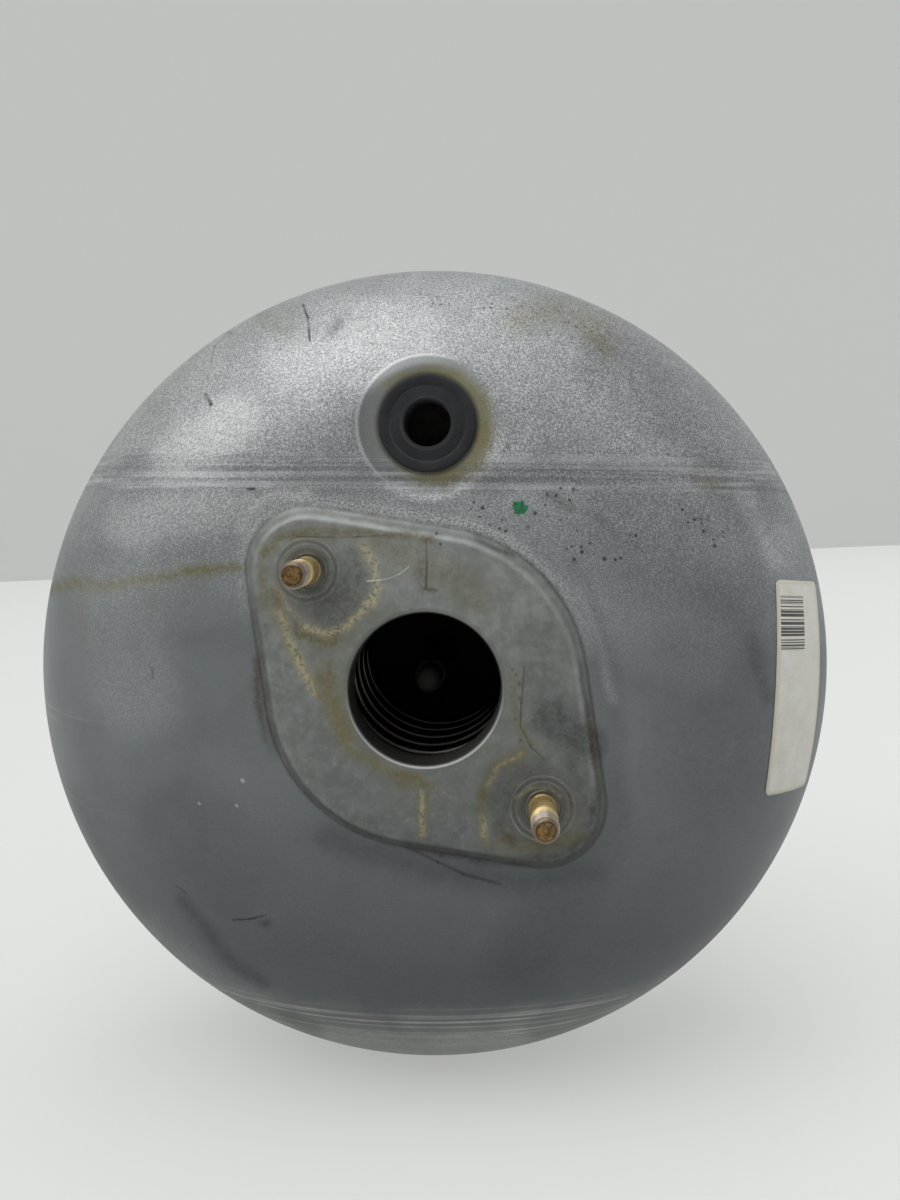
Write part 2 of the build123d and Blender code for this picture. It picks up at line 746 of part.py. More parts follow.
parts = {
    "front_shell": make_front_shell,
    "rear_shell": make_rear_shell,
    "rear_shell_neck": make_rear_neck,
    "master_cylinder_studs": make_master_cylinder_studs,
    "bulkhead_studs": make_bulkhead_studs,
    "front_reinforcement_plate": make_front_plate,
    "rear_reinforcement_plate": make_rear_plate,
    "check_valve_grommet": make_grommet,
    "hub_guide_bush": make_guide_bush,
    "hub_lip_seal": make_lip_seal,
    "seal_washer": make_seal_washer,
    "dust_boot": make_boot,
    "diaphragm": make_diaphragm,
    "return_spring": make_return_spring,
    "valve_body": make_valve_body,
    "diaphragm_plate": make_piston_plate,
    "reaction_disc": make_reaction_disc,
    "output_pushrod": make_pushrod,
    "pushrod_adjuster": make_adjuster,
    "pushrod_retainer": make_pushrod_retainer,
    "valve_key": make_valve_key,
    "valve_plunger": make_plunger,
    "poppet_valve": make_poppet,
    "poppet_spring": make_poppet_spring,
    "poppet_retainer": make_poppet_retainer,
    "input_rod": make_input_rod,
    "rod_spring_seat": make_rod_seat,
    "rod_return_spring": make_rod_return_spring,
    "silencer_felt": make_felt,
    "air_filter": make_filter,
    "filter_cap": make_filter_cap,
    "lock_nut": make_lock_nut,
    "clevis": make_clevis,
}

os.makedirs("parts", exist_ok=True)
for name, make in parts.items():
    export_step(make(), f"parts/{name}.step")
    print("made", name)
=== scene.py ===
import json
import math
from types import SimpleNamespace

import bmesh
import bpy
import numpy as np
from mathutils import Matrix, Vector, noise
from mathutils.bvhtree import BVHTree


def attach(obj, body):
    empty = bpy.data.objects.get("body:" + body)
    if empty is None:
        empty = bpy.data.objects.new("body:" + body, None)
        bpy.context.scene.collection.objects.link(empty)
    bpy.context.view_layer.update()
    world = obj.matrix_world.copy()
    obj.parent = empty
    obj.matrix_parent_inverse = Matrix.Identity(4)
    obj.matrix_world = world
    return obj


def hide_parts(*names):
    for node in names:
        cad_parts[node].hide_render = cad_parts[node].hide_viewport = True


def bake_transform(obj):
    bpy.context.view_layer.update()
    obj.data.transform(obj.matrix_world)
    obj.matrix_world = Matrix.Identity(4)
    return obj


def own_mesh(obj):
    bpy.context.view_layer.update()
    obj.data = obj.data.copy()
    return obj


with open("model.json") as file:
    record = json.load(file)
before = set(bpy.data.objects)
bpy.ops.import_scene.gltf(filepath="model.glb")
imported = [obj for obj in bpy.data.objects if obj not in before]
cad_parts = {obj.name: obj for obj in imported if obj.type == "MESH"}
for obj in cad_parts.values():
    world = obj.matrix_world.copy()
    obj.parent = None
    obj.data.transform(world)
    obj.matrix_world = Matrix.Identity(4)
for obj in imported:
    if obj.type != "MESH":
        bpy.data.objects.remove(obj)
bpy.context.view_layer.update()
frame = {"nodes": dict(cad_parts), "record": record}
mm = 0.001
fullTurn = 2 * math.pi
noise.seed_set(7)  # without it the marks wander differently at every run
print("frame loaded")

# places read off the frame, in millimetres
mounts = {m["name"]: m for m in frame["record"]["mounts"]}
flangeY = mounts["master_cylinder_face"]["pos_m"][1] / mm
portZ = mounts["check_valve_port"]["pos_m"][2] / mm
boreR = mounts["master_cylinder_bore"]["dims"]["r_mm"]
studRing = mounts["master_cylinder_studs"]["dims"]["pcd_mm"] / 2
studR = mounts["master_cylinder_studs"]["dims"]["stud_r_mm"]
studAngles = (math.radians(135), math.radians(-45))
studPlaces = [(math.cos(a) * studRing, math.sin(a) * studRing) for a in studAngles]
bulkheadHalf = mounts["bulkhead_studs"]["dims"]["spacing_x_mm"] / 2
bulkheadPlaces = [(x * bulkheadHalf, z * bulkheadHalf) for x in (-1, 1) for z in (-1, 1)]


# mesh helpers, in millimetres until the piece is made
def arcLine(centreR, centreY, radius, start, end, steps):
    turns = [math.radians(start + (end - start) * k / steps) for k in range(steps + 1)]
    return [(centreR + radius * math.cos(a), centreY + radius * math.sin(a)) for a in turns]


def steppedLine(first, last, step):
    count = max(1, round(math.dist(first, last) / step))
    return [tuple(a + (b - a) * k / count for a, b in zip(first, last)) for k in range(count + 1)]


def spinRound(bm, verts, edges, turns, steps, rise=0.0, merge=False):
    # turns a line of edges about the Y axis, climbing by rise at each step
    bmesh.ops.spin(bm, geom=verts + edges, cent=(0, 0, 0), axis=(0, 1, 0), angle=fullTurn * turns,
                   steps=steps, use_merge=merge, use_duplicate=False, dvec=(0, rise, 0))


def turnProfile(bm, profile, steps, closed=False):
    # profile points are (radius, y); the axis is Y
    verts = [bm.verts.new((r, y, 0)) for r, y in profile]
    edges = [bm.edges.new(pair) for pair in zip(verts, verts[1:])]
    if closed:
        edges.append(bm.edges.new((verts[-1], verts[0])))
    spinRound(bm, verts, edges, 1, steps, merge=True)
    bmesh.ops.remove_doubles(bm, verts=bm.verts, dist=0.0005)


def shiftBy(bm, x, y, z):
    bmesh.ops.translate(bm, verts=bm.verts, vec=(x, y, z))


def turnBy(bm, angle, axis):
    bmesh.ops.rotate(bm, verts=bm.verts, matrix=Matrix.Rotation(angle, 3, axis))


def cutOff(bm, place, normal, near=1e-5):
    # clears what lies past a plane, on the side that its normal points to
    bmesh.ops.bisect_plane(bm, geom=list(bm.verts) + list(bm.edges) + list(bm.faces), dist=near,
                           plane_co=place, plane_no=normal, clear_outer=True)


def fillHoles(bm):
    bmesh.ops.holes_fill(bm, edges=[e for e in bm.edges if e.is_boundary], sides=0)


def meshOf(name, bm):
    mesh = bpy.data.meshes.new(name)
    bm.to_mesh(mesh)
    bm.free()
    return mesh


def joinTo(whole, part):
    scrap = meshOf("scrap", part)
    whole.from_mesh(scrap)
    bpy.data.meshes.remove(scrap)


def addToScene(name, data):
    thing = bpy.data.objects.new(name, data)
    bpy.context.scene.collection.objects.link(thing)
    return thing


def makePiece(name, bm, material, body, sharp=35, recalc=True):
    if recalc:
        bmesh.ops.recalc_face_normals(bm, faces=bm.faces)
    bmesh.ops.scale(bm, verts=bm.verts, vec=(mm, mm, mm))
    mesh = meshOf(name, bm)
    mesh.materials.append(material)
    mesh.polygons.foreach_set("use_smooth", [True] * len(mesh.polygons))
    mesh.set_sharp_from_angle(angle=math.radians(sharp))
    piece = addToScene(name, mesh)
    if body:
        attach(piece, body)
    return piece


def giveSheet(piece, thickness, offset):
    sheet = piece.modifiers.new("sheet", "SOLIDIFY")
    sheet.thickness = thickness * mm
    sheet.offset = offset


def smoothLow(a, b, width):
    # the lower of two heights, with the corner between them rounded
    h = max(width - abs(a - b), 0) / width
    return min(a, b) - h * h * width / 4


def smoothHigh(a, b, width):
    return -smoothLow(-a, -b, width)


def ease(value, low, high):
    t = min(1, max(0, (value - low) / (high - low)))
    return t * t * (3 - 2 * t)


# node helpers; making holds the tree that is being built, so that no call has to name it
making = {}


class Field:
    # a node's output, for plain sums
    def __init__(self, socket):
        self.socket = socket

    def __add__(self, other):
        return calc("ADD", self, other)

    def __sub__(self, other):
        return calc("SUBTRACT", self, other)

    def __rsub__(self, other):
        return calc("SUBTRACT", other, self)

    def __mul__(self, other):
        return calc("MULTIPLY", self, other)


def feed(socket, value):
    if isinstance(value, Field):
        making["tree"].links.new(value.socket, socket)
    else:
        socket.default_value = value


def newMaterial(name):
    material = bpy.data.materials.new(name)
    material.use_nodes = True
    making.update(material=material, tree=material.node_tree)


def finished(sockets, height=None, strength=0.3, distance=0.0001):
    # fills the shader's sockets, adds the fine relief and gives the material back
    shader = making["tree"].nodes["Principled BSDF"]
    for name, value in sockets.items():
        feed(shader.inputs[name], value)
    if height:
        bump = fieldOf("Bump", "Normal", Height=height, Strength=strength, Distance=distance)
        feed(shader.inputs["Normal"], bump)
    return making["material"]


def addNode(kind, settings=None, **inputs):
    # an input is named, or is i and its number where the node gives two the same name
    node = making["tree"].nodes.new("ShaderNode" + kind)
    for key, value in (settings or {}).items():
        setattr(node, key, value)
    for key, value in inputs.items():
        feed(node.inputs[int(key[1:]) if key[1:].isdigit() else key], value)
    return node


def fieldOf(kind, output, settings=None, **inputs):
    return Field(addNode(kind, settings, **inputs).outputs[output])


def partsOf(place):
    outputs = addNode("SeparateXYZ", Vector=place).outputs
    return [Field(output) for output in outputs]


def objectPlace():
    return fieldOf("TexCoord", "Object")


def stretched(place, x, y, z):
    return fieldOf("Mapping", "Vector", Vector=place, Scale=(x, y, z))


def noiseOf(place, scale, detail=4.0, roughness=0.55, distortion=0.0):
    return fieldOf("TexNoise", "Fac", Vector=place, Scale=scale, Detail=detail, Roughness=roughness,
                   Distortion=distortion)


def ranged(value, low, high, out0=0.0, out1=1.0):
    return fieldOf("MapRange", 0, {"clamp": True}, i0=value, i1=low, i2=high, i3=out0, i4=out1)


def calc(operation, a, b=0.0, clamp=False):
    return fieldOf("Math", 0, {"operation": operation, "use_clamp": clamp}, i0=a, i1=b)


def absolute(value):
    return calc("ABSOLUTE", value)


def higher(a, b):
    return calc("MAXIMUM", a, b)


def vectorCalc(operation, a, b=(0, 0, 0)):
    output = "Value" if operation in ("DISTANCE", "DOT_PRODUCT", "LENGTH") else "Vector"
    return fieldOf("VectorMath", output, {"operation": operation}, i0=a, i1=b)


def mixed(factor, a, b):
    return fieldOf("Mix", 2, {"data_type": "RGBA"}, i0=factor, i6=a, i7=b)


def attributeOf(name):
    return fieldOf("Attribute", "Fac", {"attribute_name": name})


def rgb(*levels):
    # a colour written as it looks on a screen, 0 to 255
    return tuple(c / 255 / 12.92 if c < 10.3 else ((c / 255 + 0.055) / 1.055) ** 2.4 for c in levels) + (1,)


# camera
view = {"place": (21.56, -389.6, 55.0), "focalPixels": 931.5, "frameWidth": 900, "frameHeight": 1200,
        "middle": (496.8, 511.1), "turnLeft": 0.001, "tiltDown": 0.006, "roll": 0.004}


def aimCamera():
    turn, tilt, roll = view["turnLeft"], view["tiltDown"], view["roll"]
    level = Vector((-math.sin(turn), math.cos(turn), 0))
    forward = level * math.cos(tilt) - Vector((0, 0, math.sin(tilt)))
    across = Vector((math.cos(turn), math.sin(turn), 0))
    upright = across.cross(forward)
    right = across * math.cos(roll) + upright * math.sin(roll)
    up = upright * math.cos(roll) - across * math.sin(roll)
    data = bpy.data.cameras.new("camera")
    data.lens = view["focalPixels"] * data.sensor_width / view["frameHeight"]
    data.shift_x = (view["frameWidth"] / 2 - view["middle"][0]) / view["frameHeight"]
    data.shift_y = (view["middle"][1] - view["frameHeight"] / 2) / view["frameHeight"]
    data.clip_start, data.clip_end = 0.01, 50
    camera = addToScene("camera", data)
    turned = Matrix((right, up, -forward)).transposed().to_4x4()
    camera.matrix_world = Matrix.Translation(Vector(view["place"]) * mm) @ turned
    bpy.context.scene.camera = camera
    return right, up, forward


viewRight, viewUp, viewForward = aimCamera()
eye = Vector(view["place"])


def sightLine(px, py):
    # the line of sight through a point of the 900 x 1200 frame
    across = (px - view["middle"][0]) / view["focalPixels"]
    down = (py - view["middle"][1]) / view["focalPixels"]
    return (viewForward + viewRight * across - viewUp * down).normalized()


def onPlane(px, py, depth):
    # where that line meets the plane this deep behind the flange, in millimetres
    ray = sightLine(px, py)
    spot = eye + ray * ((flangeY + depth - eye.y) / ray.y)
    return spot.x, spot.z


# front shell: one fine skin in the CAD shell's form
shellForm = {"sheet": 1.8, "radius": 138.0, "flatR": 70.0, "domeR": 74.0, "shoulderR": 30.0,
             "plateauHeight": 4.5, "plateauR": 46.0, "lobeR": 16.5, "collar": 12.0, "lipR": 1.3,
             "stepSlope": 1.7, "stepIn": 0.3, "flangeR": 140.5, "rimY": -32.2, "rimBend": 1.6,
             "seatR": 19.4, "seatDepth": 8.0, "seatReach": 12.0, "portR": 11.3, "studSink": 0.5,
             "studCollarR": 5.5, "topRound": 2.4, "footRound": 2.6, "seatRound": 2.2,
             "steps": 320, "ringStep": 1.0, "outerStep": 2.0, "wallStep": 4.0}


def domeDepth(r):
    # depth of the domed face behind the flange plane, for a radius inside the shoulder's end
    f = shellForm
    centreR = f["radius"] - f["shoulderR"]
    domeY = f["plateauHeight"] + f["domeR"]
    shoulderY = domeY - math.sqrt((f["domeR"] - f["shoulderR"]) ** 2 - (centreR - f["flatR"]) ** 2)
    slope = math.asin((centreR - f["flatR"]) / (f["domeR"] - f["shoulderR"]))
    if r <= f["flatR"]:
        depth = f["plateauHeight"]
    elif r < f["flatR"] + f["domeR"] * math.sin(slope):
        depth = domeY - math.sqrt(f["domeR"] ** 2 - (r - f["flatR"]) ** 2)
    else:
        depth = shoulderY - math.sqrt(max(0, f["shoulderR"] ** 2 - (r - centreR) ** 2))
    return depth, slope, shoulderY


def lozengeDistance(x, z):
    # distance outside the outline round the middle circle and the two stud lobes
    f = shellForm
    along = abs((z - x) / math.sqrt(2))
    across = abs((z + x) / math.sqrt(2))
    lean = (f["plateauR"] - f["lobeR"]) / studRing
    rise = math.sqrt(1 - lean * lean)
    k = -lean * across + rise * along
    if k < 0:
        return math.hypot(across, along) - f["plateauR"]
    if k > rise * studRing:
        return math.hypot(across, along - studRing) - f["lobeR"]
    return rise * across + lean * along - f["plateauR"]


def faceDepth(x, z):
    f = shellForm
    depth = domeDepth(math.hypot(x, z))[0]
    ramp = smoothHigh(0, (lozengeDistance(x, z) + f["stepIn"]) * f["stepSlope"], f["topRound"])
    depth = smoothLow(depth, ramp, f["footRound"])
    offSeat = math.hypot(x, z - portZ) - f["seatR"]
    if offSeat < f["seatReach"]:
        rampOut = smoothHigh(0, offSeat, f["seatRound"])
        depth = smoothHigh(depth, f["seatDepth"] - rampOut, f["seatRound"])
        depth = smoothLow(depth, f["seatDepth"] + rampOut, f["seatRound"])
    for sx, sz in studPlaces:
        offStud = math.hypot(x - sx, z - sz)
        depth += f["studSink"] * (1 - ease(offStud, f["studCollarR"] - 0.6, f["studCollarR"] + 0.9))
    return depth


def buildFrontShell(material):
    f = shellForm
    slope, shoulderY = domeDepth(0)[1:]
    lip = arcLine(boreR + f["lipR"], flangeY + f["lipR"], f["lipR"], 180, 270, 8)
    collar = steppedLine((boreR, flangeY + f["collar"]), lip[0], 2.0)[:-1]
    faceEnd = portZ + f["seatR"] + 4
    joinR = f["flatR"] + f["domeR"] * math.sin(slope)
    face = [(r, flangeY) for r, _ in steppedLine(lip[-1], (faceEnd, 0), f["ringStep"])][1:]
    outer = steppedLine((faceEnd, flangeY), (joinR, flangeY), f["outerStep"])[1:]
    shoulder = arcLine(f["radius"] - f["shoulderR"], flangeY + shoulderY, f["shoulderR"],
                       math.degrees(slope) - 90, 0, 12)
    wallEnd = f["rimY"] - f["sheet"] - f["rimBend"]
    wall = steppedLine(shoulder[-1], (f["radius"], wallEnd), f["wallStep"])[1:]
    flare = arcLine(f["radius"] + f["rimBend"], wallEnd, f["rimBend"], 180, 90, 4)[1:]
    rimEdge = [(f["flangeR"], f["rimY"] - f["sheet"])]
    bm = bmesh.new()
    turnProfile(bm, collar + lip + face + outer + shoulder[1:] + wall + flare + rimEdge, f["steps"])
    for v in bm.verts:
        r = math.hypot(v.co.x, v.co.z)
        if boreR + f["lipR"] - 0.01 < r < joinR + 0.01 and v.co.y < flangeY + 0.01:
            v.co.y = flangeY + faceDepth(v.co.x, v.co.z)
    port = []
    for p in bm.faces:
        middle = p.calc_center_median()
        inPort = math.hypot(middle.x, middle.z - portZ) < f["portR"]
        if inPort and middle.y < flangeY + 2 * f["seatDepth"]:
            port.append(p)
    bmesh.ops.delete(bm, geom=port, context="FACES")
    bmesh.ops.recalc_face_normals(bm, faces=bm.faces)
    front = max(bm.faces, key=lambda p: -p.calc_center_median().y)
    if front.normal.y > 0:
        bmesh.ops.reverse_faces(bm, faces=bm.faces)
    piece = makePiece("frontShellSkin", bm, material, "housing", sharp=60, recalc=False)
    giveSheet(piece, f["sheet"], -1)
    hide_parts("front_shell")
    return piece


# zinc sheet: colours, then how the marks painted on the skin tint it
grommetReach = 15.6
# top, mid and low paint light onto the dome, lighter towards the top; soot also serves for painted shade,
# light and chalk for painted highlights, edge for a painted reflection of the floor on the bottom rim
zincLook = {"top": rgb(170, 172, 171), "mid": rgb(123, 128, 130), "low": rgb(88, 93, 95),
            "light": rgb(224, 226, 226), "plateau": rgb(156, 160, 157), "plateauLow": rgb(88, 94, 96),
            "edge": rgb(150, 149, 144), "stain": rgb(130, 120, 76), "olive": rgb(114, 112, 92),
            "film": rgb(146, 145, 130), "rust": rgb(98, 74, 50), "sand": rgb(208, 199, 170),
            "halo": rgb(148, 140, 102), "crust": rgb(124, 105, 74), "seat": rgb(134, 138, 136),
            "soot": rgb(50, 49, 46), "chalk": rgb(222, 223, 220),
            "metallic": 0.45, "glossy": 0.36, "matt": 0.56}

# each noise: scale, detail, roughness and distortion
zincNoise = {"cloud": (11.0, 5.0, 0.6), "blotch": (46.0, 5.0, 0.62, 0.4), "grain": (1750.0, 2.0, 0.75),
             "fine": (3000.0, 2.0, 0.6)}
wornNoise = {"speck": (330.0, 4.0, 0.7), "crust": (900.0, 3.0, 0.7), "patchy": (95.0, 3.0, 0.6),
             "fleck": (900.0, 2.0, 0.7)}

# streaks left by the rolls: height and half width in millimetres, and strength
streaks = {"top": (65.0, 6.0, 0.85), "bottom": (-112.0, 9.0, 0.6), "left": (-14.5, 2.6, 0.18),
           "leftLow": (-41.0, 2.4, 0.12)}

# tints of the raised face: the noise, and the range of it that shows
plateauTints = {"soot": ((240.0, 4.0, 0.6), (0.40, 0.62, 0.26, 0.0)),
                "olive": ((130.0, 4.0, 0.62, 0.6), (0.50, 0.68, 0.0, 0.24)),
                "light": ((620.0, 3.0, 0.65), (0.55, 0.72, 0.0, 0.10))}

# rings round each stud: radius and width in millimetres
studRings = {"pale": ((7.85, 0.42), (9.65, 0.42)), "dark": ((8.7, 0.5), (6.4, 0.7)), "washed": (9.4, 10.4)}

# families of marks: tint, strength, and how ragged the edge is; the grime family also holds painted shade,
# the chalk family mostly painted highlights and reflections
weatherAndLight = {"film": ("film", 0.42, 2.2), "grime": ("soot", 0.72, 2.6), "stain": ("stain", 0.8, 4.5),
           "rust": ("rust", 0.8, 5.0), "sand": ("sand", 0.95, 4.6), "chalk": ("chalk", 0.85, 1.2)}

# thin scratches: points of the frame, width in millimetres, tint and strength
scratches = {
    "dark1": (((303, 305), (308, 318), (310, 341)), 0.55, "soot", 0.9),
    "dark2": (((206, 395), (211, 404)), 0.85, "soot", 0.95),
    "dark3": (((226, 336), (215, 346), (211, 362)), 0.45, "soot", 0.6),
    "dark3End": (((228, 332), (231, 334)), 0.9, "soot", 0.8),
    "dark4": (((233, 920), (250, 919), (266, 915)), 0.45, "soot", 0.9),
    "dark5": (((152, 668), (153, 678)), 0.55, "soot", 0.7),
    "dark6": (((176, 886), (186, 893)), 0.5, "soot", 0.7),
    "dark7": (((248, 489), (254, 489)), 0.6, "soot", 0.9),
    "crease": (((405, 846), (438, 862), (463, 874), (500, 884)), 0.7, "soot", 0.5),
    "plateTop": (((300, 536), (344, 537), (388, 535)), 0.35, "soot", 0.45),
    "lineDown": (((427, 538), (428, 562), (427, 588)), 0.42, "soot", 0.6),
    "lineLow": (((524, 664), (521, 700), (520, 722), (530, 742), (544, 756)), 0.45, "soot", 0.5),
    "pale1": (((369, 580), (380, 579), (391, 577), (401, 573), (410, 566)), 0.24, "chalk", 0.95),
    "pale2": (((242, 780), (243, 781)), 0.8, "chalk", 0.7),
    "pale3": (((199, 803), (200, 804)), 0.6, "chalk", 0.6),
    "pale4": (((236, 805), (237, 806)), 0.6, "chalk", 0.6),
}


def onFace(px, py):
    # where the line of sight meets the domed face, as (x, z) in millimetres
    x, z = 0.0, 0.0
    for _ in range(14):
        x, z = onPlane(px, py, domeDepth(min(math.hypot(x, z), shellForm["radius"] - 1))[0])
    return x, z


def flatOf(place):
    # the place with its depth left out, for marks that run straight back
    return vectorCalc("MULTIPLY", place, (1, 0, 1))


def spotDistance(place, x, z):
    # distance from a line along Y, in metres, for rings round a stud or the port
    return vectorCalc("DISTANCE", flatOf(place), (x * mm, 0, z * mm))


def lineDistance(flatPlace, a, b):
    # distance in metres from a straight line between two points of the face
    run = Vector((b[0] - a[0], 0, b[1] - a[1])) * mm
    reach = vectorCalc("SUBTRACT", flatPlace, (a[0] * mm, 0, a[1] * mm))
    along = vectorCalc("DOT_PRODUCT", reach, run / run.length_squared)
    share = calc("MULTIPLY", along, 1.0, clamp=True)
    nearest = fieldOf("VectorMath", "Vector", {"operation": "SCALE"}, i0=run, Scale=share)
    return vectorCalc("DISTANCE", reach, nearest)


def ringOf(distance, radius, width):
    # 1 on a ring of this radius, in millimetres, falling to 0 at its width
    return ranged(absolute(distance - radius * mm), 0.0, width * mm, 1.0, 0.0)


def within(distance, inner, outer, most=1.0):
    # most inside the inner radius, in millimetres, falling to 0 at the outer one
    return ranged(distance, outer * mm, inner * mm, 0.0, most)


def layTint(s, share, key):
    s.colour = mixed(share, s.colour, zincLook[key])


def streakBands(s):
    ends = ranged(s.sideways, -0.085, -0.115)
    bands = None
    for key, (middle, half, most) in streaks.items():
        band = ranged(absolute(s.height - middle * mm), half * mm * 0.75, half * mm * 1.15, most, 0.0)
        if key.startswith("left"):
            band = band * ends
        bands = higher(bands, band) if bands else band
    return bands


def raisedFace(s, rim):
    look = zincLook
    # the raised face, lighter towards the top as painted light, with patchy tints
    flat = mixed(ranged(s.height + s.cloud * 0.03, -0.05, 0.045), look["plateauLow"], look["plateau"])
    flat = mixed(ranged(s.blotch, 0.42, 0.70, 0.0, 0.35), flat, look["edge"])
    for key, (patches, share) in plateauTints.items():
        flat = mixed(ranged(noiseOf(s.place, *patches), *share), flat, look[key])
    s.colour = mixed(ranged(rim, 4.0, 3.0), s.colour, flat)
    # the crest of the step is rubbed and gets a painted highlight, stronger to the upper right; its foot is
    # darkened all round, dirt with the painted shade of the crease; and painted glints of grain stand just
    # outside it, on the upper part
    across = ranged(s.sideways + s.height, -0.02, 0.06, 0.25, 1.0)
    layTint(s, ranged(absolute(rim + 0.5), 0.2, 1.2, 0.2, 0.0) * across, "light")
    layTint(s, ranged(absolute(rim - 2.9), 0.2, 0.9, 0.56, 0.0), "soot")
    outside = (1.0 - ranged(absolute(rim - 4.8), 0.5, 2.6)) * s.upper
    flecks = higher(ranged(s.grain, 0.44, 0.60, 0.0, 0.8), ranged(s.fleck, 0.52, 0.60))
    layTint(s, outside * flecks, "chalk")


def ringStuds(s):
    for x, z in studPlaces:
        off = spotDistance(s.place, x, z)
        rings, groove = [higher(*(ringOf(off, *ring) for ring in studRings[key])) for key in ("pale", "dark")]
        rings = rings * ranged(s.patchy, 0.38, 0.62, 0.1, 1.0) * ranged(s.crust, 0.36, 0.56, 0.4, 1.0)
        s.relief = s.relief + rings * 2.6
        layTint(s, within(off, *studRings["washed"]) * 0.4, "mid")
        layTint(s, rings * 0.55, "chalk")
        layTint(s, groove * 0.5, "soot")


def weatherAndLightSkin(s):
    # each family of marks, its edge broken up by the noise, painted shade and highlights among them; sand and
    # chalk are also grainy
    broken = s.speck * 0.5 + s.crust * 0.5
    for family, (key, most, ragged) in weatherAndLight.items():
        tint = zincLook[key]
        edge = (broken - 0.52) * ragged
        amount = calc("MULTIPLY", attributeOf(family), edge + 1.0, clamp=True)
        if family == "chalk":
            amount = amount * ranged(s.grain, 0.44, 0.56, 0.45, 1.15)
        else:
            s.rough = calc("ADD", s.rough, amount * 0.3, clamp=True)
        if family == "sand":
            tint = mixed(ranged(s.crust, 0.34, 0.50), zincLook["crust"], tint)
            s.relief = s.relief + amount * (s.crust * 4.0)
        s.colour = mixed(amount * most, s.colour, tint)


def scratchSkin(s):
    flatPlace = flatOf(s.place)
    unevenly = ranged(s.patchy, 0.40, 0.56, 0.45, 1.0)
    for points, width, key, most in scratches.values():
        wide = width * mm
        for a, b in zip(points, points[1:]):
            off = lineDistance(flatPlace, onFace(*a), onFace(*b)) + (s.speck - 0.5) * (wide * 1.6)
            layTint(s, ranged(off, wide * 0.35, wide, most, 0.0) * unevenly, key)


def shadeBore(s):
    # painted shade inside the bore and on the lip above it, and a painted highlight on the lip below
    turned = vectorCalc("LENGTH", flatOf(s.place))
    layTint(s, within(turned, boreR + 0.1, boreR + 0.55, 0.85), "soot")
    layTint(s, within(turned, boreR + 0.5, boreR + 1.9, 0.55) * ranged(s.height, -0.016, 0.006), "soot")
    layTint(s, ringOf(turned, boreR + 0.8, 0.42) * ranged(s.height, 0.0, -0.018, 0.1, 0.8), "light")


def pitSkin(s):
    # round pits of uneven size, where the skin is marked for them
    cells = addNode("TexVoronoi", Vector=s.place, Scale=430.0).outputs
    picked = fieldOf("SeparateColor", 0, Color=Field(cells["Color"]))
    dots = ranged(Field(cells["Distance"]) + picked * 0.14, 0.24, 0.36, 1.0, 0.0)
    dots = calc("GREATER_THAN", picked, 0.15) * dots * ranged(attributeOf("pits"), 0.05, 0.4)
    layTint(s, dots * 0.85, "soot")


def stainPort(s):
    # a painted highlight on the seat's edge at its upper left, and a stained ring and a painted shadow round
    # the grommet
    off = spotDistance(s.place, 0, portZ)
    lifted = (s.height - portZ * mm) * 0.6
    upperLeft = ranged(lifted - s.sideways, 0.0, 0.014, 0.0, 0.65)
    layTint(s, ringOf(off, shellForm["seatR"] + 2.2, 0.8) * upperLeft, "light")
    halo = ranged(off - s.sideways * 0.14, grommetReach * mm, (grommetReach + 3.2) * mm, 1.0, 0.0)
    layTint(s, halo * ranged(s.patchy, 0.3, 0.62, 0.4, 0.85), "halo")
    layTint(s, ranged(off, (grommetReach - 0.2) * mm, (grommetReach + 0.9) * mm, 0.6, 0.0), "soot")


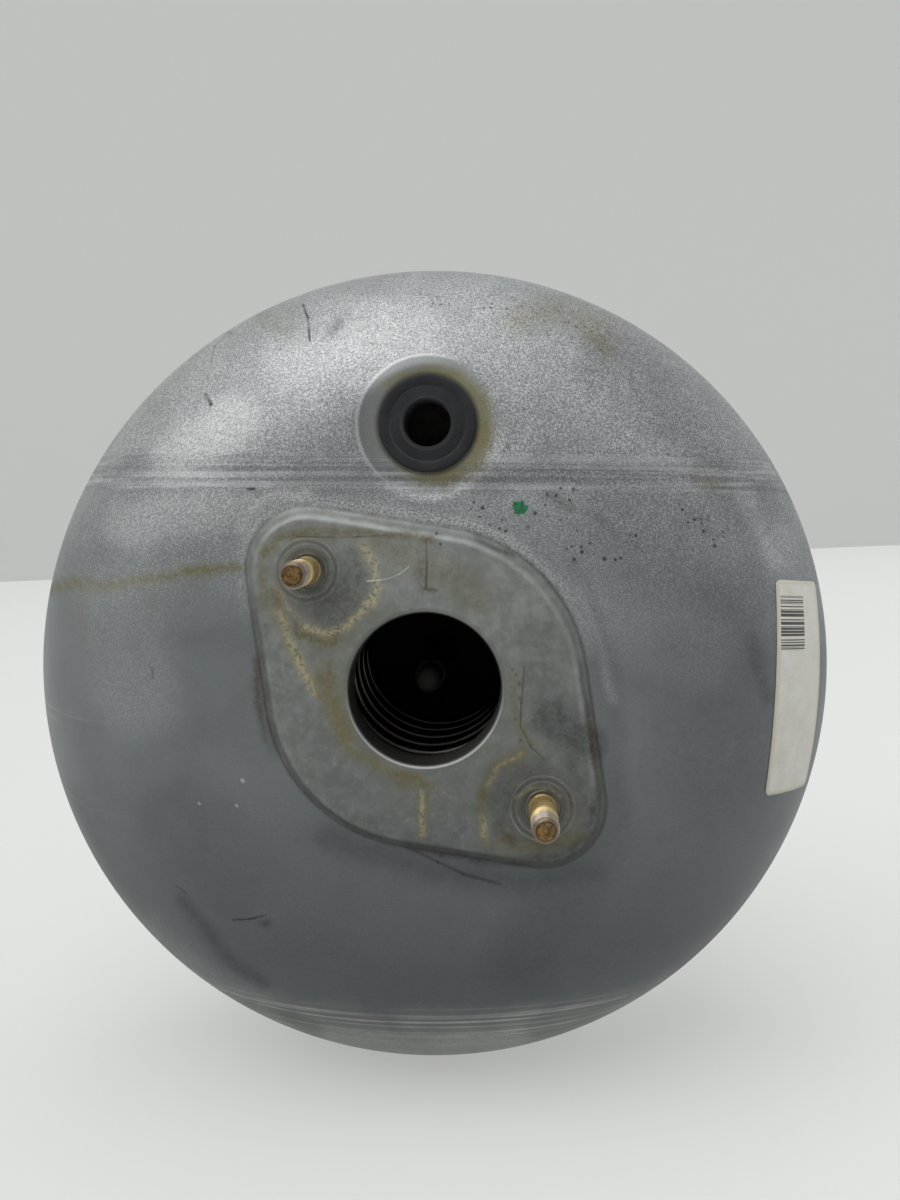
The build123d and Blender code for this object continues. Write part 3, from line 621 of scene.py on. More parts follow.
def sheetZinc(name, painted):
    # dulled zinc sheet: fine grain, lighter above and smooth blue-grey below as painted light from above,
    # rolling streaks, and on the worn sheet grime with painted shade and highlights
    newMaterial(name)
    look = zincLook
    place = objectPlace()
    sideways, _, height = partsOf(place)
    s = SimpleNamespace(place=place, sideways=sideways, height=height)
    for key, settings in {**zincNoise, **(wornNoise if painted else {})}.items():
        setattr(s, key, noiseOf(place, *settings))
    drawn = noiseOf(stretched(place, 5.0, 40.0, 640.0), 1.0, 3.0, 0.6)
    # painted light: lighter towards the top, darker towards the bottom, with light blotches on the upper part
    # alone
    shaken = height + (s.cloud - 0.5) * 0.07
    s.upper = ranged(shaken, 0.012, 0.082)
    s.colour = mixed(ranged(shaken, -0.085, -0.02), look["low"], look["mid"])
    layTint(s, s.upper, "top")
    layTint(s, ranged(s.blotch, 0.46, 0.74, 0.0, 0.3), "low")
    layTint(s, ranged(s.blotch, 0.46, 0.30, 0.0, 0.2) * s.upper, "light")
    # lighter at the bottom rim: a painted reflection of the floor
    layTint(s, ranged(height + (s.blotch - 0.5) * 0.03, -0.100, -0.128, 0.0, 0.8), "edge")
    # the grain shows mostly on the upper part, where its light flecks are painted glints
    grainy = ranged(s.upper, 0.0, 1.0, 0.04, 1.0) * ranged(s.blotch, 0.62, 0.40, 0.72, 1.0)
    bands = streakBands(s)
    if painted:
        # the raised face and the seat of the port are smoother than the dome
        rim = attributeOf("rim")
        seatR = shellForm["seatR"]
        onSeat = within(spotDistance(place, 0, portZ), seatR + 1.2, seatR + 2.6)
        onSeat = onSeat * ranged(sideways - height * 0.8, -0.052, -0.072, 0.15, 1.0)
        grainy = grainy * ranged(rim, 3.0, 4.4, 0.1, 1.0) * (1.0 - onSeat * 0.9)
        bands = bands * ranged(rim, 3.0, 4.4)
        layTint(s, onSeat * 0.85, "seat")
        raisedFace(s, rim)
    layTint(s, grainy * ranged(s.grain, 0.51, 0.60, 0.0, 0.8), "light")
    layTint(s, grainy * ranged(s.grain, 0.48, 0.38, 0.0, 0.62), "low")
    layTint(s, ranged(s.fine, 0.42, 0.30, 0.0, 0.16), "soot")
    layTint(s, bands * ranged(drawn, 0.47, 0.66, 0.0, 0.46), "low")
    glints = ranged(drawn, 0.49, 0.34, 0.0, 0.66) * ranged(s.blotch, 0.40, 0.60, 1.0, 0.45)
    layTint(s, bands * glints, "light")
    s.rough = ranged(s.cloud, 0.3, 0.7, look["glossy"], look["matt"])
    s.relief = s.grain * grainy * 0.9 + s.fine * 0.25 + drawn * bands * 1.2
    if painted:
        for addWear in (ringStuds, weatherAndLightSkin, scratchSkin, shadeBore, pitSkin, stainPort):
            addWear(s)
    sockets = {"Base Color": s.colour, "Metallic": look["metallic"], "Roughness": s.rough}
    return finished(sockets, s.relief, 0.45)


# plainer finishes
def agedMetal(name, light, dark, metallic, glossy, matt, spots, spotAmount=0.5, scale=60.0, specular=0.5):
    newMaterial(name)
    place = objectPlace()
    cloud = noiseOf(place, scale, 5.0, 0.6)
    fine = noiseOf(place, scale * 14, 3.0, 0.6)
    colour = mixed(ranged(cloud, 0.34, 0.66), dark, light)
    patch = ranged(noiseOf(place, scale * 3.2, 5.0, 0.62, 0.5), 0.56, 0.7, 0.0, spotAmount)
    colour = mixed(patch, colour, spots)
    colour = mixed(ranged(fine, 0.55, 0.75, 0.0, 0.25), colour, light)
    return finished({"Base Color": colour, "Metallic": metallic, "Specular IOR Level": specular,
                     "Roughness": ranged(cloud, 0.3, 0.7, glossy, matt)}, fine + cloud * 1.5, 0.3, 0.00012)


def dullBody(name, light, dark, rough, scale, dust=None, relief=0.3, sheen=0.0):
    # rubber, moulded plastic, felt and foam
    newMaterial(name)
    place = objectPlace()
    cloud = noiseOf(place, scale, 5.0, 0.6)
    fine = noiseOf(place, scale * 16, 3.0, 0.65)
    colour = mixed(ranged(cloud, 0.32, 0.68), dark, light)
    if dust:
        colour = mixed(ranged(cloud + fine * 0.5, 0.78, 1.02, 0.0, 0.5), colour, dust)
    return finished({"Base Color": colour, "Sheen Weight": sheen,
                     "Roughness": ranged(fine, 0.3, 0.7, rough - 0.08, rough + 0.08)}, fine, relief)


zinc = sheetZinc("zincSheet", False)
# the worn sheet, with its painted shade, shadows and highlights
zincPainted = sheetZinc("zincSheetWorn", True)
yellowZinc = agedMetal("yellowZinc", rgb(214, 190, 136), rgb(184, 154, 98), 0.85, 0.26, 0.42,
                       rgb(112, 84, 50), 0.4, 120.0)
plainSteel = agedMetal("plainSteel", rgb(128, 126, 122), rgb(84, 82, 79), 0.8, 0.38, 0.6, rgb(92, 62, 38))
springSteel = agedMetal("springSteel", rgb(84, 83, 81), rgb(46, 45, 44), 0.92, 0.16, 0.30,
                        rgb(96, 58, 32), 0.55, 90.0)
# near black: oily steel, darkened further as painted shade for the inside of the bore
oiledSteel = agedMetal("oiledSteel", rgb(27, 26, 25), rgb(16, 15, 15), 0.1, 0.6, 0.75,
                       rgb(60, 36, 22), 0.5, 90.0, specular=0.2)
blackRubber = dullBody("blackRubber", rgb(48, 48, 49), rgb(30, 30, 31), 0.62, 90.0, rgb(78, 77, 74))
phenolic = dullBody("phenolic", rgb(30, 26, 23), rgb(17, 15, 14), 0.5, 70.0, rgb(58, 50, 44))
whitePlastic = dullBody("whitePlastic", rgb(214, 210, 198), rgb(190, 184, 168), 0.42, 50.0)
feltWool = dullBody("feltWool", rgb(120, 116, 108), rgb(84, 80, 74), 0.92, 160.0, relief=0.9, sheen=0.4)
foamBlack = dullBody("foamBlack", rgb(62, 61, 58), rgb(26, 26, 25), 0.95, 420.0, relief=1.0, sheen=0.1)

finishNodes = (
    (zinc, ("front_shell", "rear_shell", "rear_shell_neck")),
    (plainSteel, ("front_reinforcement_plate", "rear_reinforcement_plate", "seal_washer", "diaphragm_plate",
                  "valve_key", "valve_plunger", "poppet_retainer", "input_rod", "rod_spring_seat")),
    (yellowZinc, ("master_cylinder_studs", "bulkhead_studs", "lock_nut", "clevis")),
    (blackRubber, ("check_valve_grommet", "hub_lip_seal", "dust_boot", "diaphragm", "reaction_disc",
                   "poppet_valve")),
    (springSteel, ("return_spring", "poppet_spring", "rod_return_spring")),
    (oiledSteel, ("output_pushrod", "pushrod_adjuster", "pushrod_retainer")),
    (phenolic, ("valve_body", "filter_cap")),
    (whitePlastic, ("hub_guide_bush",)),
    (feltWool, ("silencer_felt",)),
    (foamBlack, ("air_filter",)),
)
for finish, nodeNames in finishNodes:
    for nodeName in nodeNames:
        finishes = frame["nodes"][nodeName].data.materials
        finishes.clear()
        finishes.append(finish)
print("finishes done")


# marks on the front shell, each a line of points of the frame with its width and strength
marks = {
    "film": {
        "imprint": ([(302, 582), (430, 690), (543, 808)], 52, 0.8),
        "aboveBore": ([(300, 548), (420, 562), (470, 590)], 24, 0.8),
        "belowBore": ([(400, 790), (430, 800)], 26, 0.5),
        "crestRight": ([(455, 545), (520, 566), (560, 610), (574, 660)], 5, 0.5),
    },
    "pits": {
        "nearPaint": ([(462, 502), (476, 508), (506, 530)], 5, 1.0),
        "underPaint": ([(528, 516), (566, 494)], 9, 0.9),
        "right": ([(566, 530), (580, 552), (610, 548)], 9, 0.95),
        "farRight": ([(606, 556), (650, 536)], 8, 0.8),
        "farther": ([(676, 500), (716, 540)], 12, 0.5),
        "plate": ([(428, 534), (446, 546), (466, 545)], 5, 1.0),
        "flat": ([(330, 560), (420, 620)], 10, 0.1),
        "lowRight": ([(516, 656), (520, 740)], 6, 0.24),
        "leftPlate": ([(262, 620), (268, 660)], 5, 0.15),
        "lowLeft": ([(250, 810), (300, 850)], 14, 0.14),
        "top": ([(430, 300), (520, 310), (600, 340)], 20, 0.3),
    },
    "stain": {
        "waterline": ([(47, 588), (80, 584), (112, 586), (147, 579), (187, 572), (238, 568)], 5, 0.95),
        "waterlineEnd": ([(96, 590), (160, 576), (196, 574)], 8, 0.35),
        "drip1": ([(80, 588), (84, 640)], 5, 0.3),
        "drip2": ([(150, 582), (153, 612)], 4, 0.25),
        "rimTint": ([(520, 318), (560, 308), (600, 330)], 17, 0.45),
        "rimTint2": ([(575, 318), (608, 350)], 8, 0.6),
        "rimLeft": ([(262, 316), (284, 330)], 10, 0.35),
        "portRing": ([(480, 398), (489, 430), (480, 462), (452, 480), (420, 482)], 7, 0.6),
        "portTop": ([(384, 388), (400, 376), (425, 370), (455, 372)], 4.5, 0.55),
        "flangeTop": ([(262, 556), (276, 538), (300, 533), (330, 532), (380, 534), (430, 538)], 4.5, 0.75),
        "lobeLeft": ([(262, 570), (266, 600), (282, 632)], 6, 0.4),
        "lobeEdge": ([(276, 592), (289, 646), (306, 674), (325, 701), (336, 729), (350, 751), (389, 770),
                      (422, 780)], 6, 0.8),
        "lobeInner": ([(326, 676), (334, 706), (346, 738)], 12, 0.9),
        "olive": ([(296, 630), (312, 640), (334, 640)], 8, 0.85),
        "oliveLow": ([(348, 750), (384, 766)], 9, 0.6),
        "oliveFoot": ([(400, 782), (430, 786)], 5, 0.7),
        "paleStain": ([(423, 788), (421, 836)], 5.5, 0.7),
        "rightArc": ([(523, 753), (496, 768), (484, 788), (480, 813), (486, 842)], 4.5, 0.75),
        "rightInner": ([(512, 672), (516, 716), (528, 742)], 7, 0.4),
        "lowTint": ([(490, 842), (540, 848), (580, 836)], 7, 0.45),
        "topPlate": ([(370, 545), (430, 560), (480, 600)], 16, 0.3),
        "smallRight": ([(700, 480), (716, 486)], 7, 0.4),
    },
    "rust": {
        "leftSlope": ([(256, 660), (258, 700), (264, 740)], 3.5, 0.55),
        "boltFoot": ([(418, 588), (436, 590)], 2.2, 0.6),
        "boltTint": ([(422, 566), (424, 588)], 6, 0.4),
        "rightFoot": ([(588, 700), (592, 740), (598, 780)], 2.6, 0.6),
        "rightStud": ([(568, 796), (573, 806)], 3.5, 0.45),
        "underStud": ([(498, 826), (512, 842)], 5, 0.35),
    },
    "sand": {
        "leftCrust": ([(362, 548), (375, 566), (377, 590), (362, 612), (346, 626), (326, 634),
                       (304, 626)], 4.2, 0.85),
        "leftHook": ([(372, 606), (380, 588)], 4, 0.8),
        "paleTop": ([(362, 546), (372, 562)], 5, 0.75),
        "paleDrop": ([(422, 790), (422, 834)], 2.4, 0.7),
        "leftLow": ([(280, 612), (289, 640), (303, 672), (314, 690)], 5, 0.75),
        "leftInner": ([(300, 620), (286, 604), (276, 588)], 2.6, 0.5),
        "rightCrust": ([(522, 754), (500, 766), (488, 784)], 2.6, 0.45),
        "rightLow": ([(482, 818), (486, 838)], 3.2, 0.55),
        "studRing": ([(516, 798), (530, 789), (548, 788), (560, 797)], 1.6, 0.5),
    },
    # dirt and pits, and painted shade: along the foot and under the lower edge of the raised face, under the
    # grommet and on the lower left
    "grime": {
        "leftBlotch": ([(322, 588), (330, 592)], 42, 0.5),
        "leftDark": ([(352, 552), (360, 575), (352, 604), (330, 618)], 8, 0.45),
        "rightBlotch": ([(528, 802), (534, 806)], 44, 0.5),
        "rightPatch": ([(550, 716), (588, 744)], 22, 0.66),
        "rightEdge": ([(560, 700), (575, 770), (585, 820)], 14, 0.35),
        "pits1": ([(548, 496), (572, 508)], 7, 0.55),
        "pits2": ([(590, 514), (640, 548)], 9, 0.42),
        "pits3": ([(676, 500), (716, 540)], 9, 0.36),
        "pits4": ([(574, 560), (600, 620), (606, 680)], 9, 0.3),
        "pits5": ([(478, 538), (490, 546), (512, 556)], 2.4, 0.7),
        "smudge": ([(750, 640), (766, 700)], 12, 0.5),
        "topSmudge": ([(420, 482), (470, 480), (540, 470)], 12, 0.4),
        "rightTop": ([(610, 360), (690, 420), (752, 500)], 40, 0.38),
        # painted shade on the lower left, where the left window lights it
        "lowLeftDark": ([(180, 820), (230, 870)], 44, 0.16),
        "plateRight": ([(540, 640), (550, 700)], 30, 0.26),
        "rightSide": ([(640, 520), (700, 620), (720, 760)], 70, 0.3),
        "rightBand": ([(480, 470), (600, 468), (730, 472)], 12, 0.4),
        # painted shadow under the grommet
        "underPort": ([(360, 470), (430, 486), (480, 482)], 9, 0.35),
        "besidePort": ([(336, 400), (344, 456)], 12, 0.2),
        # painted shade under the raised face's lower edge and along its foot
        "underLozenge": ([(330, 840), (420, 866), (520, 884), (596, 872)], 15, 0.4),
        "footDark": ([(410, 846), (470, 858), (520, 863), (566, 858), (590, 834), (598, 790)], 7, 0.62),
        "leftFoot": ([(256, 610), (260, 650), (268, 700)], 6, 0.35),
        "besideLozenge": ([(606, 640), (616, 740), (618, 820)], 14, 0.25),
        "lowSmear": ([(600, 830), (560, 900), (520, 960)], 36, 0.2),
        "leftRim": ([(80, 800), (110, 872), (170, 950)], 14, 0.2),
        "rollMark": ([(182, 900), (230, 960), (262, 984)], 7, 0.45),
        "lowRim": ([(250, 1004), (330, 1036), (430, 1048)], 8, 0.3),
        "scratch1b": ([(340, 320), (330, 334)], 4, 0.5),
        "scratch4b": ([(262, 924), (268, 922)], 3.4, 0.6),
        "lozengeLeft": ([(258, 600), (262, 680), (276, 750)], 7, 0.35),
    },
    # mostly painted highlights and reflections: shine on the upper left and top, on the lobe and the
    # shoulder, and along the lower rims
    "chalk": {
        "shineLeft": ([(178, 456), (206, 438), (236, 420)], 27, 0.66),
        "lobeShine": ([(240, 528), (252, 508), (270, 496), (306, 494)], 6, 0.75),
        "underBand": ([(126, 528), (180, 516), (240, 508)], 24, 0.42),
        "shineTop": ([(290, 372), (340, 350), (420, 330)], 22, 0.25),
        "shoulder": ([(744, 494), (762, 530), (776, 562)], 8, 0.3),
        "leftSide": ([(120, 600), (136, 690)], 46, 0.2),
        "lowEdge": ([(150, 930), (200, 972), (260, 1010)], 16, 0.16),
        "bottomEdge": ([(330, 1036), (420, 1046), (520, 1038)], 9, 0.32),
        "plateTop": ([(350, 548), (400, 560), (440, 562)], 14, 0.16),
        "greyPatch": ([(606, 620), (700, 650)], 40, 0.12),
        "scuff": ([(580, 590), (600, 640), (612, 700)], 6, 0.25),
    },
}


def wander(spot, size, reach):
    # a small sideways shift that changes smoothly over the sheet, so that no mark runs straight
    shift = noise.noise_vector(Vector(spot) / size) * reach
    return shift.x, shift.z


def writeAttribute(mesh, name, values):
    mesh.attributes.new(name, "FLOAT", "POINT").data.foreach_set("value", values.astype(np.float32))


def lineReach(mx, my, points):
    # how far each point of the skin is from a line of points of the frame
    nearest = np.full(len(mx), 1e9)
    for (x0, y0), (x1, y1) in zip(points, points[1:]):
        along = ((mx - x0) * (x1 - x0) + (my - y0) * (y1 - y0)) / ((x1 - x0) ** 2 + (y1 - y0) ** 2)
        along = np.clip(along, 0, 1)
        nearest = np.minimum(nearest, np.hypot(mx - x0 - along * (x1 - x0), my - y0 - along * (y1 - y0)))
    return nearest


def paintMarks(piece):
    # writes each family of marks on the skin, from 0 to 1, and how far a point is outside the raised face
    mesh = piece.data
    spots = np.empty(len(mesh.vertices) * 3)
    mesh.vertices.foreach_get("co", spots)
    spots = spots.reshape(-1, 3) / mm
    shifts = sum(np.array([wander(spot, *waves) for spot in spots]) for waves in ((5.0, 3.2), (1.6, 1.4)))
    far, faceEnd = 60.0, flangeY + 40
    rim = [min(far, lozengeDistance(x, z)) if y < faceEnd else far for x, y, z in spots]
    writeAttribute(mesh, "rim", np.array(rim))
    seen = spots - np.array(eye)
    deep = seen @ np.array(viewForward)
    px = view["middle"][0] + view["focalPixels"] * (seen @ np.array(viewRight)) / deep
    py = view["middle"][1] - view["focalPixels"] * (seen @ np.array(viewUp)) / deep
    for family, lines in marks.items():
        total = np.zeros(len(px))
        for points, width, strength in lines.values():
            sway = min(1.0, width / 4)
            off = lineReach(px + shifts[:, 0] * sway, py + shifts[:, 1] * sway, points)
            total = np.maximum(total, strength * np.exp(-(off / width) ** (4 if width > 20 else 2)))
        writeAttribute(mesh, family, total)


frontSkin = buildFrontShell(zincPainted)
paintMarks(frontSkin)
skinTree = BVHTree.FromPolygons([v.co / mm for v in frontSkin.data.vertices],
                                [p.vertices for p in frontSkin.data.polygons])
print("front shell done")


def onSkin(px, py):
    hit, normal, _, _ = skinTree.ray_cast(eye, sightLine(px, py))
    return hit, -normal if normal.y > 0 else normal


# studs with a rolled thread, coarse M8
studForm = {"pitch": 1.25, "depth": 0.4, "chamfer": 1.3, "collarR": 5.45, "headR": 9.0, "head": 2.8,
            "sides": 40, "frontShank": 8.5, "frontLength": 20.0, "rearShank": 3.0, "rearLength": 26.0,
            "rearSheet": 1.6, "plate": 3.0}
threadProfile = ((1, 0), (1, 0.14), (0, 0.42), (0, 0.56), (1, 0.86), (1, 1.0))  # share of depth, of pitch


def addThread(bm, radius, start, end, form):
    # a closed threaded bar along Y from start, where it runs out, to its chamfered end
    pitch, sides = form["pitch"], form["sides"]
    turns = math.ceil((end - start) / pitch) + 3
    verts = [bm.verts.new((radius - form["depth"] * r, start - 1.5 * pitch + y * pitch, 0))
             for r, y in threadProfile]
    edges = [bm.edges.new(pair) for pair in zip(verts, verts[1:])]
    spinRound(bm, verts, edges, turns, turns * sides, rise=pitch / sides)
    bmesh.ops.remove_doubles(bm, verts=bm.verts, dist=0.002)
    cutOff(bm, (0, start, 0), (0, -1, 0))
    cutOff(bm, (0, end, 0), (0, 1, 0))
    for v in bm.verts:
        r = math.hypot(v.co.x, v.co.z)
        most = radius - form["chamfer"] + (end - v.co.y)
        runOut = ease(v.co.y, start, start + 2 * pitch)
        wanted = min(radius + (r - radius) * runOut, most)
        v.co.x, v.co.z = v.co.x * wanted / r, v.co.z * wanted / r
    fillHoles(bm)


def buildStud(shank, length, collar):
    # head and collar behind the sheet, from y 0 back, and the thread along +Y
    f = studForm
    bm = bmesh.new()
    addThread(bm, studR, shank, length, f)
    head = -collar - f["head"]
    body = bmesh.new()
    collarR, headR = f["collarR"], f["headR"]
    turnProfile(body, [(0, shank + 0.02), (studR - 0.01, shank + 0.02), (studR - 0.01, 0.5),
                       (studR + 0.35, 0.06), (collarR - 0.3, 0.06), (collarR, -0.2), (collarR, -collar),
                       (headR - 0.4, -collar), (headR, -collar - 0.4), (headR, head + 0.5),
                       (headR - 0.5, head), (0, head)], f["sides"])
    joinTo(bm, body)
    return bm


def buildStuds(name, places, base, direction, shank, length, collar):
    whole = bmesh.new()
    for index, (x, z) in enumerate(places):
        bm = buildStud(shank, length, collar)
        turnBy(bm, 0.9 + 1.7 * index, "Y")
        if direction < 0:
            turnBy(bm, math.pi, "X")
        shiftBy(bm, x, base, z)
        joinTo(whole, bm)
    return makePiece(name, whole, studFinish, "housing", sharp=32)


# depths in front of the flange, in millimetres, where each look begins and is full
studLook = {"worn": (12.5, 15.0), "chamfer": (18.5, 18.9), "browned": (19.8, 19.95), "rimmed": (18.6, 19.4),
            "dirty": (0.9, 0.0), "rimR": 2.75}


def studMaterial():
    # yellow zinc, worn silvery towards the ends of the threads, the end faces browned
    newMaterial("studZinc")
    place = objectPlace()
    depth = partsOf(place)[1]
    cloud = noiseOf(place, 240.0, 4.0, 0.6)
    fine = noiseOf(place, 1600.0, 3.0, 0.6)

    def ahead(value, key, most=1.0):
        begins, full = studLook[key]
        return ranged(value, (flangeY - begins) * mm, (flangeY - full) * mm, 0.0, most)

    colour = mixed(ranged(cloud, 0.35, 0.65), rgb(206, 172, 106), rgb(232, 208, 152))
    worn = ahead(depth + (cloud - 0.5) * 0.006, "worn")
    colour = mixed(worn * 0.8, colour, rgb(150, 146, 146))
    colour = mixed(ahead(depth, "chamfer", 0.85), colour, rgb(122, 104, 80))
    mottled = mixed(ranged(noiseOf(place, 900.0, 3.0, 0.6), 0.42, 0.6), rgb(84, 62, 34), rgb(146, 114, 64))
    colour = mixed(ahead(depth, "browned", 0.9), colour, mottled)
    nearest = None
    for x, z in studPlaces:
        off = spotDistance(place, x, z)
        nearest = calc("MINIMUM", nearest, off) if nearest else off
        rimmed = ringOf(off, studLook["rimR"], 0.45) * ahead(depth, "rimmed")
        colour = mixed(rimmed * 0.8, colour, rgb(46, 32, 18))
    # on the front studs alone, a grey collar and a dirty foot to the thread
    sheetSide = ranged(depth, (flangeY + 20) * mm, (flangeY + 25) * mm, 1.0, 0.0)
    greyed = ranged(nearest, (studR + 0.1) * mm, (studR + 0.45) * mm) * sheetSide
    colour = mixed(greyed, colour, rgb(122, 122, 116))
    colour = mixed(ahead(depth, "dirty", 0.6) * sheetSide, colour, rgb(62, 54, 44))
    colour = mixed(ranged(fine, 0.36, 0.28, 0.0, 0.6), colour, rgb(60, 44, 26))
    return finished({"Base Color": colour, "Metallic": 0.6, "Roughness": ranged(cloud, 0.3, 0.7, 0.22, 0.4)},
                    fine, 0.25, 0.00008)


studFinish = studMaterial()
frontStuds = buildStuds("masterCylinderStuds", studPlaces, flangeY, -1, studForm["frontShank"],
                        studForm["frontLength"], shellForm["sheet"] + studForm["plate"])
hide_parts("master_cylinder_studs")
rearStuds = buildStuds("bulkheadStuds", bulkheadPlaces, 0.0, 1, studForm["rearShank"],
                       studForm["rearLength"], studForm["rearSheet"] + studForm["plate"])
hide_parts("bulkhead_studs")
print("studs done")


# check-valve grommet
grommetForm = {"flangeR": 15.0, "flange": 2.6, "boreR": 7.15, "neckR": 11.0, "tailR": 13.0, "length": 16.0,
               "lipR": 8.1, "grooveR": 11.7, "steps": 96}


def grommetFinish():
    newMaterial("grommetRubber")
    place = objectPlace()
    height = partsOf(place)[2]
    off = spotDistance(place, 0, portZ)
    cloud = noiseOf(place, 130.0, 5.0, 0.6)
    fine = noiseOf(place, 2200.0, 2.0, 0.6)
    dust = rgb(112, 111, 108)
    colour = mixed(ranged(cloud, 0.34, 0.66), rgb(49, 49, 51), rgb(58, 58, 60))
    dusty = higher(ringOf(off, grommetForm["lipR"], 0.5), ringOf(off, grommetForm["grooveR"], 0.4))
    dusty = dusty * ranged(height, (portZ + 3) * mm, (portZ - 6) * mm, 0.05, 0.45)
    colour = mixed(dusty, colour, dust)
    colour = mixed(ranged(fine, 0.62, 0.74, 0.0, 0.4), colour, dust)
    return finished({"Base Color": colour, "Roughness": 0.8, "Specular IOR Level": 0.25}, fine, 0.35)


def buildGrommet():
    f = grommetForm
    front = flangeY + shellForm["seatDepth"] - f["flange"]
    seat = front + f["flange"]
    inner = seat + shellForm["sheet"]
    back = front + f["length"]
    profile = [(f["boreR"], front + 0.5)]
    profile += arcLine(f["boreR"] + 0.5, front + 0.5, 0.5, 180, 270, 4)[1:]
    profile += [(f["lipR"] - 0.25, front), (f["lipR"], front + 0.28), (f["lipR"] + 0.35, front + 0.4),
                (f["grooveR"] - 0.35, front + 0.38), (f["grooveR"], front + 0.6),
                (f["grooveR"] + 0.35, front + 0.36)]
    profile += arcLine(f["flangeR"] - 1.1, front + 1.35, 1.1, 270, 360, 8)
    profile += [(f["flangeR"], seat), (f["neckR"], seat), (f["neckR"], inner), (f["tailR"] - 0.3, inner),
                (f["tailR"], inner + 0.4), (f["tailR"] - 0.3, inner + 1.4), (f["boreR"] + 1.9, back),
                (f["boreR"] + 0.4, back), (f["boreR"], back - 0.4), (f["boreR"], front + 6)]
    bm = bmesh.new()
    turnProfile(bm, profile, f["steps"], closed=True)
    shiftBy(bm, 0, 0, portZ)
    piece = makePiece("checkValveGrommet", bm, grommetFinish(), "housing", sharp=40)
    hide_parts("check_valve_grommet")


buildGrommet()
print("grommet done")


# springs; keep is the share of the length left at the joint's far limit, anchored at the still end
springForms = {
    "returnSpring": {"node": "return_spring", "body": "housing", "joint": "piston_stroke", "keep": 40 / 74,
                     "anchor": "start", "meanR": 27.4, "wireR": 1.8, "start": -107.2, "end": -33.2,
                     "turns": 7.8, "closed": 1.0, "around": 14, "sides": 56, "turn": 0.6},
    "rodSpring": {"node": "rod_return_spring", "body": "power_piston", "joint": "valve_travel",
                  "keep": 22 / 24, "anchor": "start", "meanR": 10.2, "wireR": 0.7, "start": 22.0,
                  "end": 45.45, "turns": 8.0, "closed": 1.0, "around": 10, "sides": 32, "turn": 0.0},
    "poppetSpring": {"node": "poppet_spring", "body": "power_piston", "joint": "valve_travel",
                     "keep": 13 / 15, "anchor": "end", "meanR": 10.6, "wireR": 0.45, "start": 5.5,
                     "end": 20.5, "turns": 6.5, "closed": 1.0, "around": 8, "sides": 32, "turn": 0.0},
}


def buildSpring(name, f):
    # one wire wound with a wide pitch, then pressed to its place with its end turns closed
    wide = 6 * f["wireR"]
    bm = bmesh.new()
    made = bmesh.ops.create_circle(bm, segments=f["around"], radius=f["wireR"], cap_ends=False)["verts"]
    bmesh.ops.translate(bm, verts=made, vec=(f["meanR"], 0, 0))
    spinRound(bm, made, list(bm.edges), -f["turns"], round(f["turns"] * f["sides"]), rise=wide / f["sides"])
    bmesh.ops.remove_doubles(bm, verts=bm.verts, dist=0.0005)
    fillHoles(bm)
    openTurns = f["turns"] - 2 * f["closed"]
    tight = 2 * f["wireR"] * 1.01
    pitch = (f["end"] - f["start"] - 2 * f["wireR"] - 2 * f["closed"] * tight) / openTurns
    for v in bm.verts:
        share = (math.atan2(v.co.z, v.co.x) / fullTurn) % 1.0
        turn = round(v.co.y / wide - share) + share
        off = v.co.y - turn * wide
        middle = f["start"] + f["wireR"] + min(turn, f["closed"]) * tight
        middle += min(max(turn - f["closed"], 0), openTurns) * pitch
        middle += max(turn - f["closed"] - openTurns, 0) * tight
        v.co.y = min(max(middle + off, f["start"] + 0.02), f["end"] - 0.02)
    turnBy(bm, f["turn"], "Y")
    piece = makePiece(name, bm, springSteel, f["body"], sharp=50)
    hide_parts(f["node"])
    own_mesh(piece)


for springName, springForm in springForms.items():
    buildSpring(springName, springForm)
print("springs done")


# dust boot: collar, bellows and cuff
bootForm = {"wall": 1.2, "collarR": 31.3, "collarStart": 14.0, "foldStart": 22.5, "cuffStart": 65.0,
            "cuffEnd": 73.0, "cuffR": 20.5, "folds": 5, "depth": 5.0, "round": 1.5, "edgeRound": 0.5,
            "steps": 160, "stroke": 34.0}


def roundedPath(corners, radius, steps=4):
    # the corner points of a turned path with each inner corner rounded
    path = [corners[0]]
    for before, corner, after in zip(corners, corners[1:], corners[2:]):
        a = Vector(before) - Vector(corner)
        b = Vector(after) - Vector(corner)
        reach = min(radius, a.length / 2.2, b.length / 2.2)
        start = Vector(corner) + a.normalized() * reach
        end = Vector(corner) + b.normalized() * reach
        for k in range(steps + 1):
            t = k / steps
            spot = start * (1 - t) ** 2 + Vector(corner) * 2 * t * (1 - t) + end * t ** 2
            path.append((spot.x, spot.y))
    return path + [corners[-1]]


def wallPath(path, wall):
    # a closed outline of even thickness inside the path
    inner = []
    for index, spot in enumerate(path):
        before = Vector(path[max(index - 1, 0)])
        after = Vector(path[min(index + 1, len(path) - 1)])
        run = (after - before).normalized()
        inner.append((spot[0] - run.y * wall, spot[1] + run.x * wall))
    return path + inner[::-1]


def bellowsPath():
    f = bootForm
    pitch = (f["cuffStart"] - f["foldStart"]) / f["folds"]
    corners = [(f["collarR"], f["foldStart"])]
    for k in range(f["folds"]):
        share = (k + 0.5) / f["folds"]
        mean = f["collarR"] + (f["cuffR"] + f["depth"] - f["collarR"]) * share
        corners.append((mean + f["depth"] / 2, f["foldStart"] + (k + 0.3) * pitch))
        corners.append((mean - f["depth"] / 2, f["foldStart"] + (k + 0.8) * pitch))
    corners.append((f["cuffR"], f["cuffStart"]))
    return roundedPath(corners, f["round"])


def bootPiece(name, outline, body):
    bm = bmesh.new()
    turnProfile(bm, outline, bootForm["steps"], closed=True)
    piece = makePiece(name, bm, blackRubber, body, sharp=40)
    return piece


